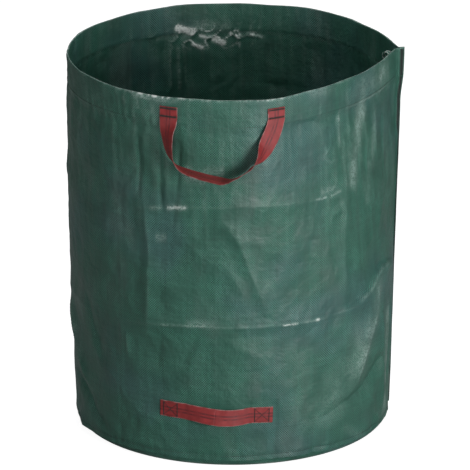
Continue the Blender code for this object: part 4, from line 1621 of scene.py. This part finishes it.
def lower_line():
    """The lower handle's centre line and across directions. Its top leans in to the wall."""
    along = np.linspace(-LOWER_HANDLE_LENGTH / 2, LOWER_HANDLE_LENGTH / 2, 2 * LOWER_STEPS + 1)
    half = LOWER_HANDLE_LENGTH / 2 - LOWER_END_LENGTH
    share = np.clip((along + half) / (2 * half), 0, 1)
    bow = LOWER_BOW * (1 - np.cos(2 * pi * share)) / 2
    out = SEAT_GAP + WEB_THICKNESS / 2 + bow + LOWER_CLEARANCE * ramp(bow, 0, LOWER_CLEAR_FROM)
    sag = LOWER_SKEW * np.sin(2 * pi * share) - LOWER_SAG * np.sin(pi * share)
    centre = lower_place(along, sag, out)
    across = lower_place(along, sag + 0.004, out) - lower_place(along, sag - 0.004, out)
    lean = LOWER_LEAN * np.sin(pi * share)
    outward = unit(np.cross(np.gradient(centre, axis=0), across))
    across = unit(across) - outward * lean[:, None]
    for k in range(3):
        soften(centre[:, k], times=6)
        soften(across[:, k], times=6)
    return centre, across


lower_centre, lower_across = lower_line()
for word, side in LEFT_AND_RIGHT:
    cut = slice(0, LOWER_STEPS + 1) if side < 0 else slice(LOWER_STEPS, None)
    run = np.linspace(0, LOWER_HANDLE_LENGTH, 2 * LOWER_STEPS + 1)[cut]
    half = strap(
        "lower_handle_" + word, lower_centre[cut], lower_across[cut], LOWER_WEB_WIDTH, lower_webbing, run)
    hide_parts(f"lower_handle_{word}_end", "lower_handle_strap")
    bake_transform(half)

# %% [markdown]
# Each end of the lower handle is sewn with a box and a cross in it, the usual stitch for webbing
# that is pulled on. The two upright sides of the box are bar tacks, so they look heavier, and the
# cross is made of narrower ones.

# %% Box stitches
BOX_LENGTH = 0.029
BOX_HEIGHT = 0.027
BOX_PITCH = 0.0030
BOX_TACK_PAST = 0.0015
BOX_TACK_HALF = 0.0013
CROSS_TACK_HALF = 0.0006


def on_lower(points, low_share, high_share):
    """Stitches between neighbouring (along, up) points on the lower handle."""
    along, up = np.array(points).T
    places = lower_place(along, up, SEAT_GAP + WEB_THICKNESS)
    stitches = []
    for a, b in zip(places, places[1:]):
        stitches.append((a + (b - a) * low_share, a + (b - a) * high_share, (a[0], a[1], 0.0)))
    return stitches


def box_line(start, end):
    """Plain stitches between two (along, up) points."""
    count = max(int(round(np.hypot(end[0] - start[0], end[1] - start[1]) / BOX_PITCH)), 1)
    gap = (1 - STITCH_SHARE) / 2
    return on_lower(np.linspace(start, end, count + 1), gap, 1 - gap)


def box_tack(start, end, half):
    """A bar tack, a dense zigzag, between two (along, up) points."""
    length = np.hypot(end[0] - start[0], end[1] - start[1])
    points = np.linspace(start, end, int(length / TACK_PITCH) + 1)
    sideways = np.array([start[1] - end[1], end[0] - start[0]]) / length
    swing = half * (-1.0) ** np.arange(len(points))
    return on_lower(points + sideways * swing[:, None], 0, 1)


def box_stitch(middle):
    """The box and the cross in it, round a place along the handle."""
    left, right = middle - BOX_LENGTH / 2, middle + BOX_LENGTH / 2
    low, high = -BOX_HEIGHT / 2, BOX_HEIGHT / 2
    stitches = box_line((left, low), (right, low)) + box_line((left, high), (right, high))
    for along in (left, right):
        ends = ((along, low - BOX_TACK_PAST), (along, high + BOX_TACK_PAST))
        stitches += box_tack(*ends, BOX_TACK_HALF)
    stitches += box_tack((left, low), (right, high), CROSS_TACK_HALF)
    return stitches + box_tack((left, high), (right, low), CROSS_TACK_HALF)


for word, side in LEFT_AND_RIGHT:
    middle = side * (LOWER_HANDLE_LENGTH / 2 - LOWER_END_LENGTH / 2)
    stitched(f"box_{word}", box_stitch(middle), "root", f"lower_handle_{word}_stitching")

# %% [markdown]
# At the seam the strip's tunnel in the hem is left open, and its loose edge has curled up into a
# small roll of cloth just inside the rim.

# %% Curled end of the hem's tunnel
ROLL_ANGLE = 0.4
ROLL_HEIGHT = 0.7768
ROLL_RADIUS = 0.0064
ROLL_LENGTH = 0.016
ROLL_START = -0.35
ROLL_END = 1.75
ROLL_INSIDE_WALL = 0.0046
ROLL_FLARE = 0.16
ROLL_DENTS = 0.05
ROLL_COIL = 0.03
ROLL_TALL = 1.15
ROLL_PALE = 0.12


def roll_places():
    """A short open coil along the wall, a little wider at its near end."""
    turn = np.linspace(ROLL_START * pi, ROLL_END * pi, 29)[None, :]
    along = np.linspace(-0.5, 0.5, 9)[:, None]
    angle = ROLL_ANGLE + np.degrees(along * ROLL_LENGTH / RIM_RADIUS)
    radius = ROLL_RADIUS * (1.0 - ROLL_FLARE * along + ROLL_DENTS * np.sin(turn * 3))
    radius = radius * (1 - ROLL_COIL * turn)
    reach = outline(angle, ROLL_HEIGHT) - ROLL_INSIDE_WALL - ROLL_RADIUS
    height = ROLL_HEIGHT + radius * np.sin(turn) * ROLL_TALL
    places = ring_place(angle, reach + radius * np.cos(turn), height)
    marks = np.stack(np.broadcast_arrays(turn * ROLL_RADIUS, along * ROLL_LENGTH), axis=-1)
    return places, marks


roll_grid, roll_marks = roll_places()
roll_pale_and_highlight = np.full(roll_grid.shape[:2], ROLL_PALE)
# painted highlights along the roll's two curled edges, nearly white at the very edge
roll_pale_and_highlight[[0, -1]] = PALEST_MARK
roll_pale_and_highlight[[1, -2]] = 1.0
roll = placed_sheet("tunnel_roll", roll_grid, roll_marks, cloth_finish, crease_and_highlight=roll_pale_and_highlight)
wear(roll, "rim", "cloth")

# %% [markdown]
# At the end the view layer is brought up to date.

# %% Bring the scene up to date
bpy.context.view_layer.update()
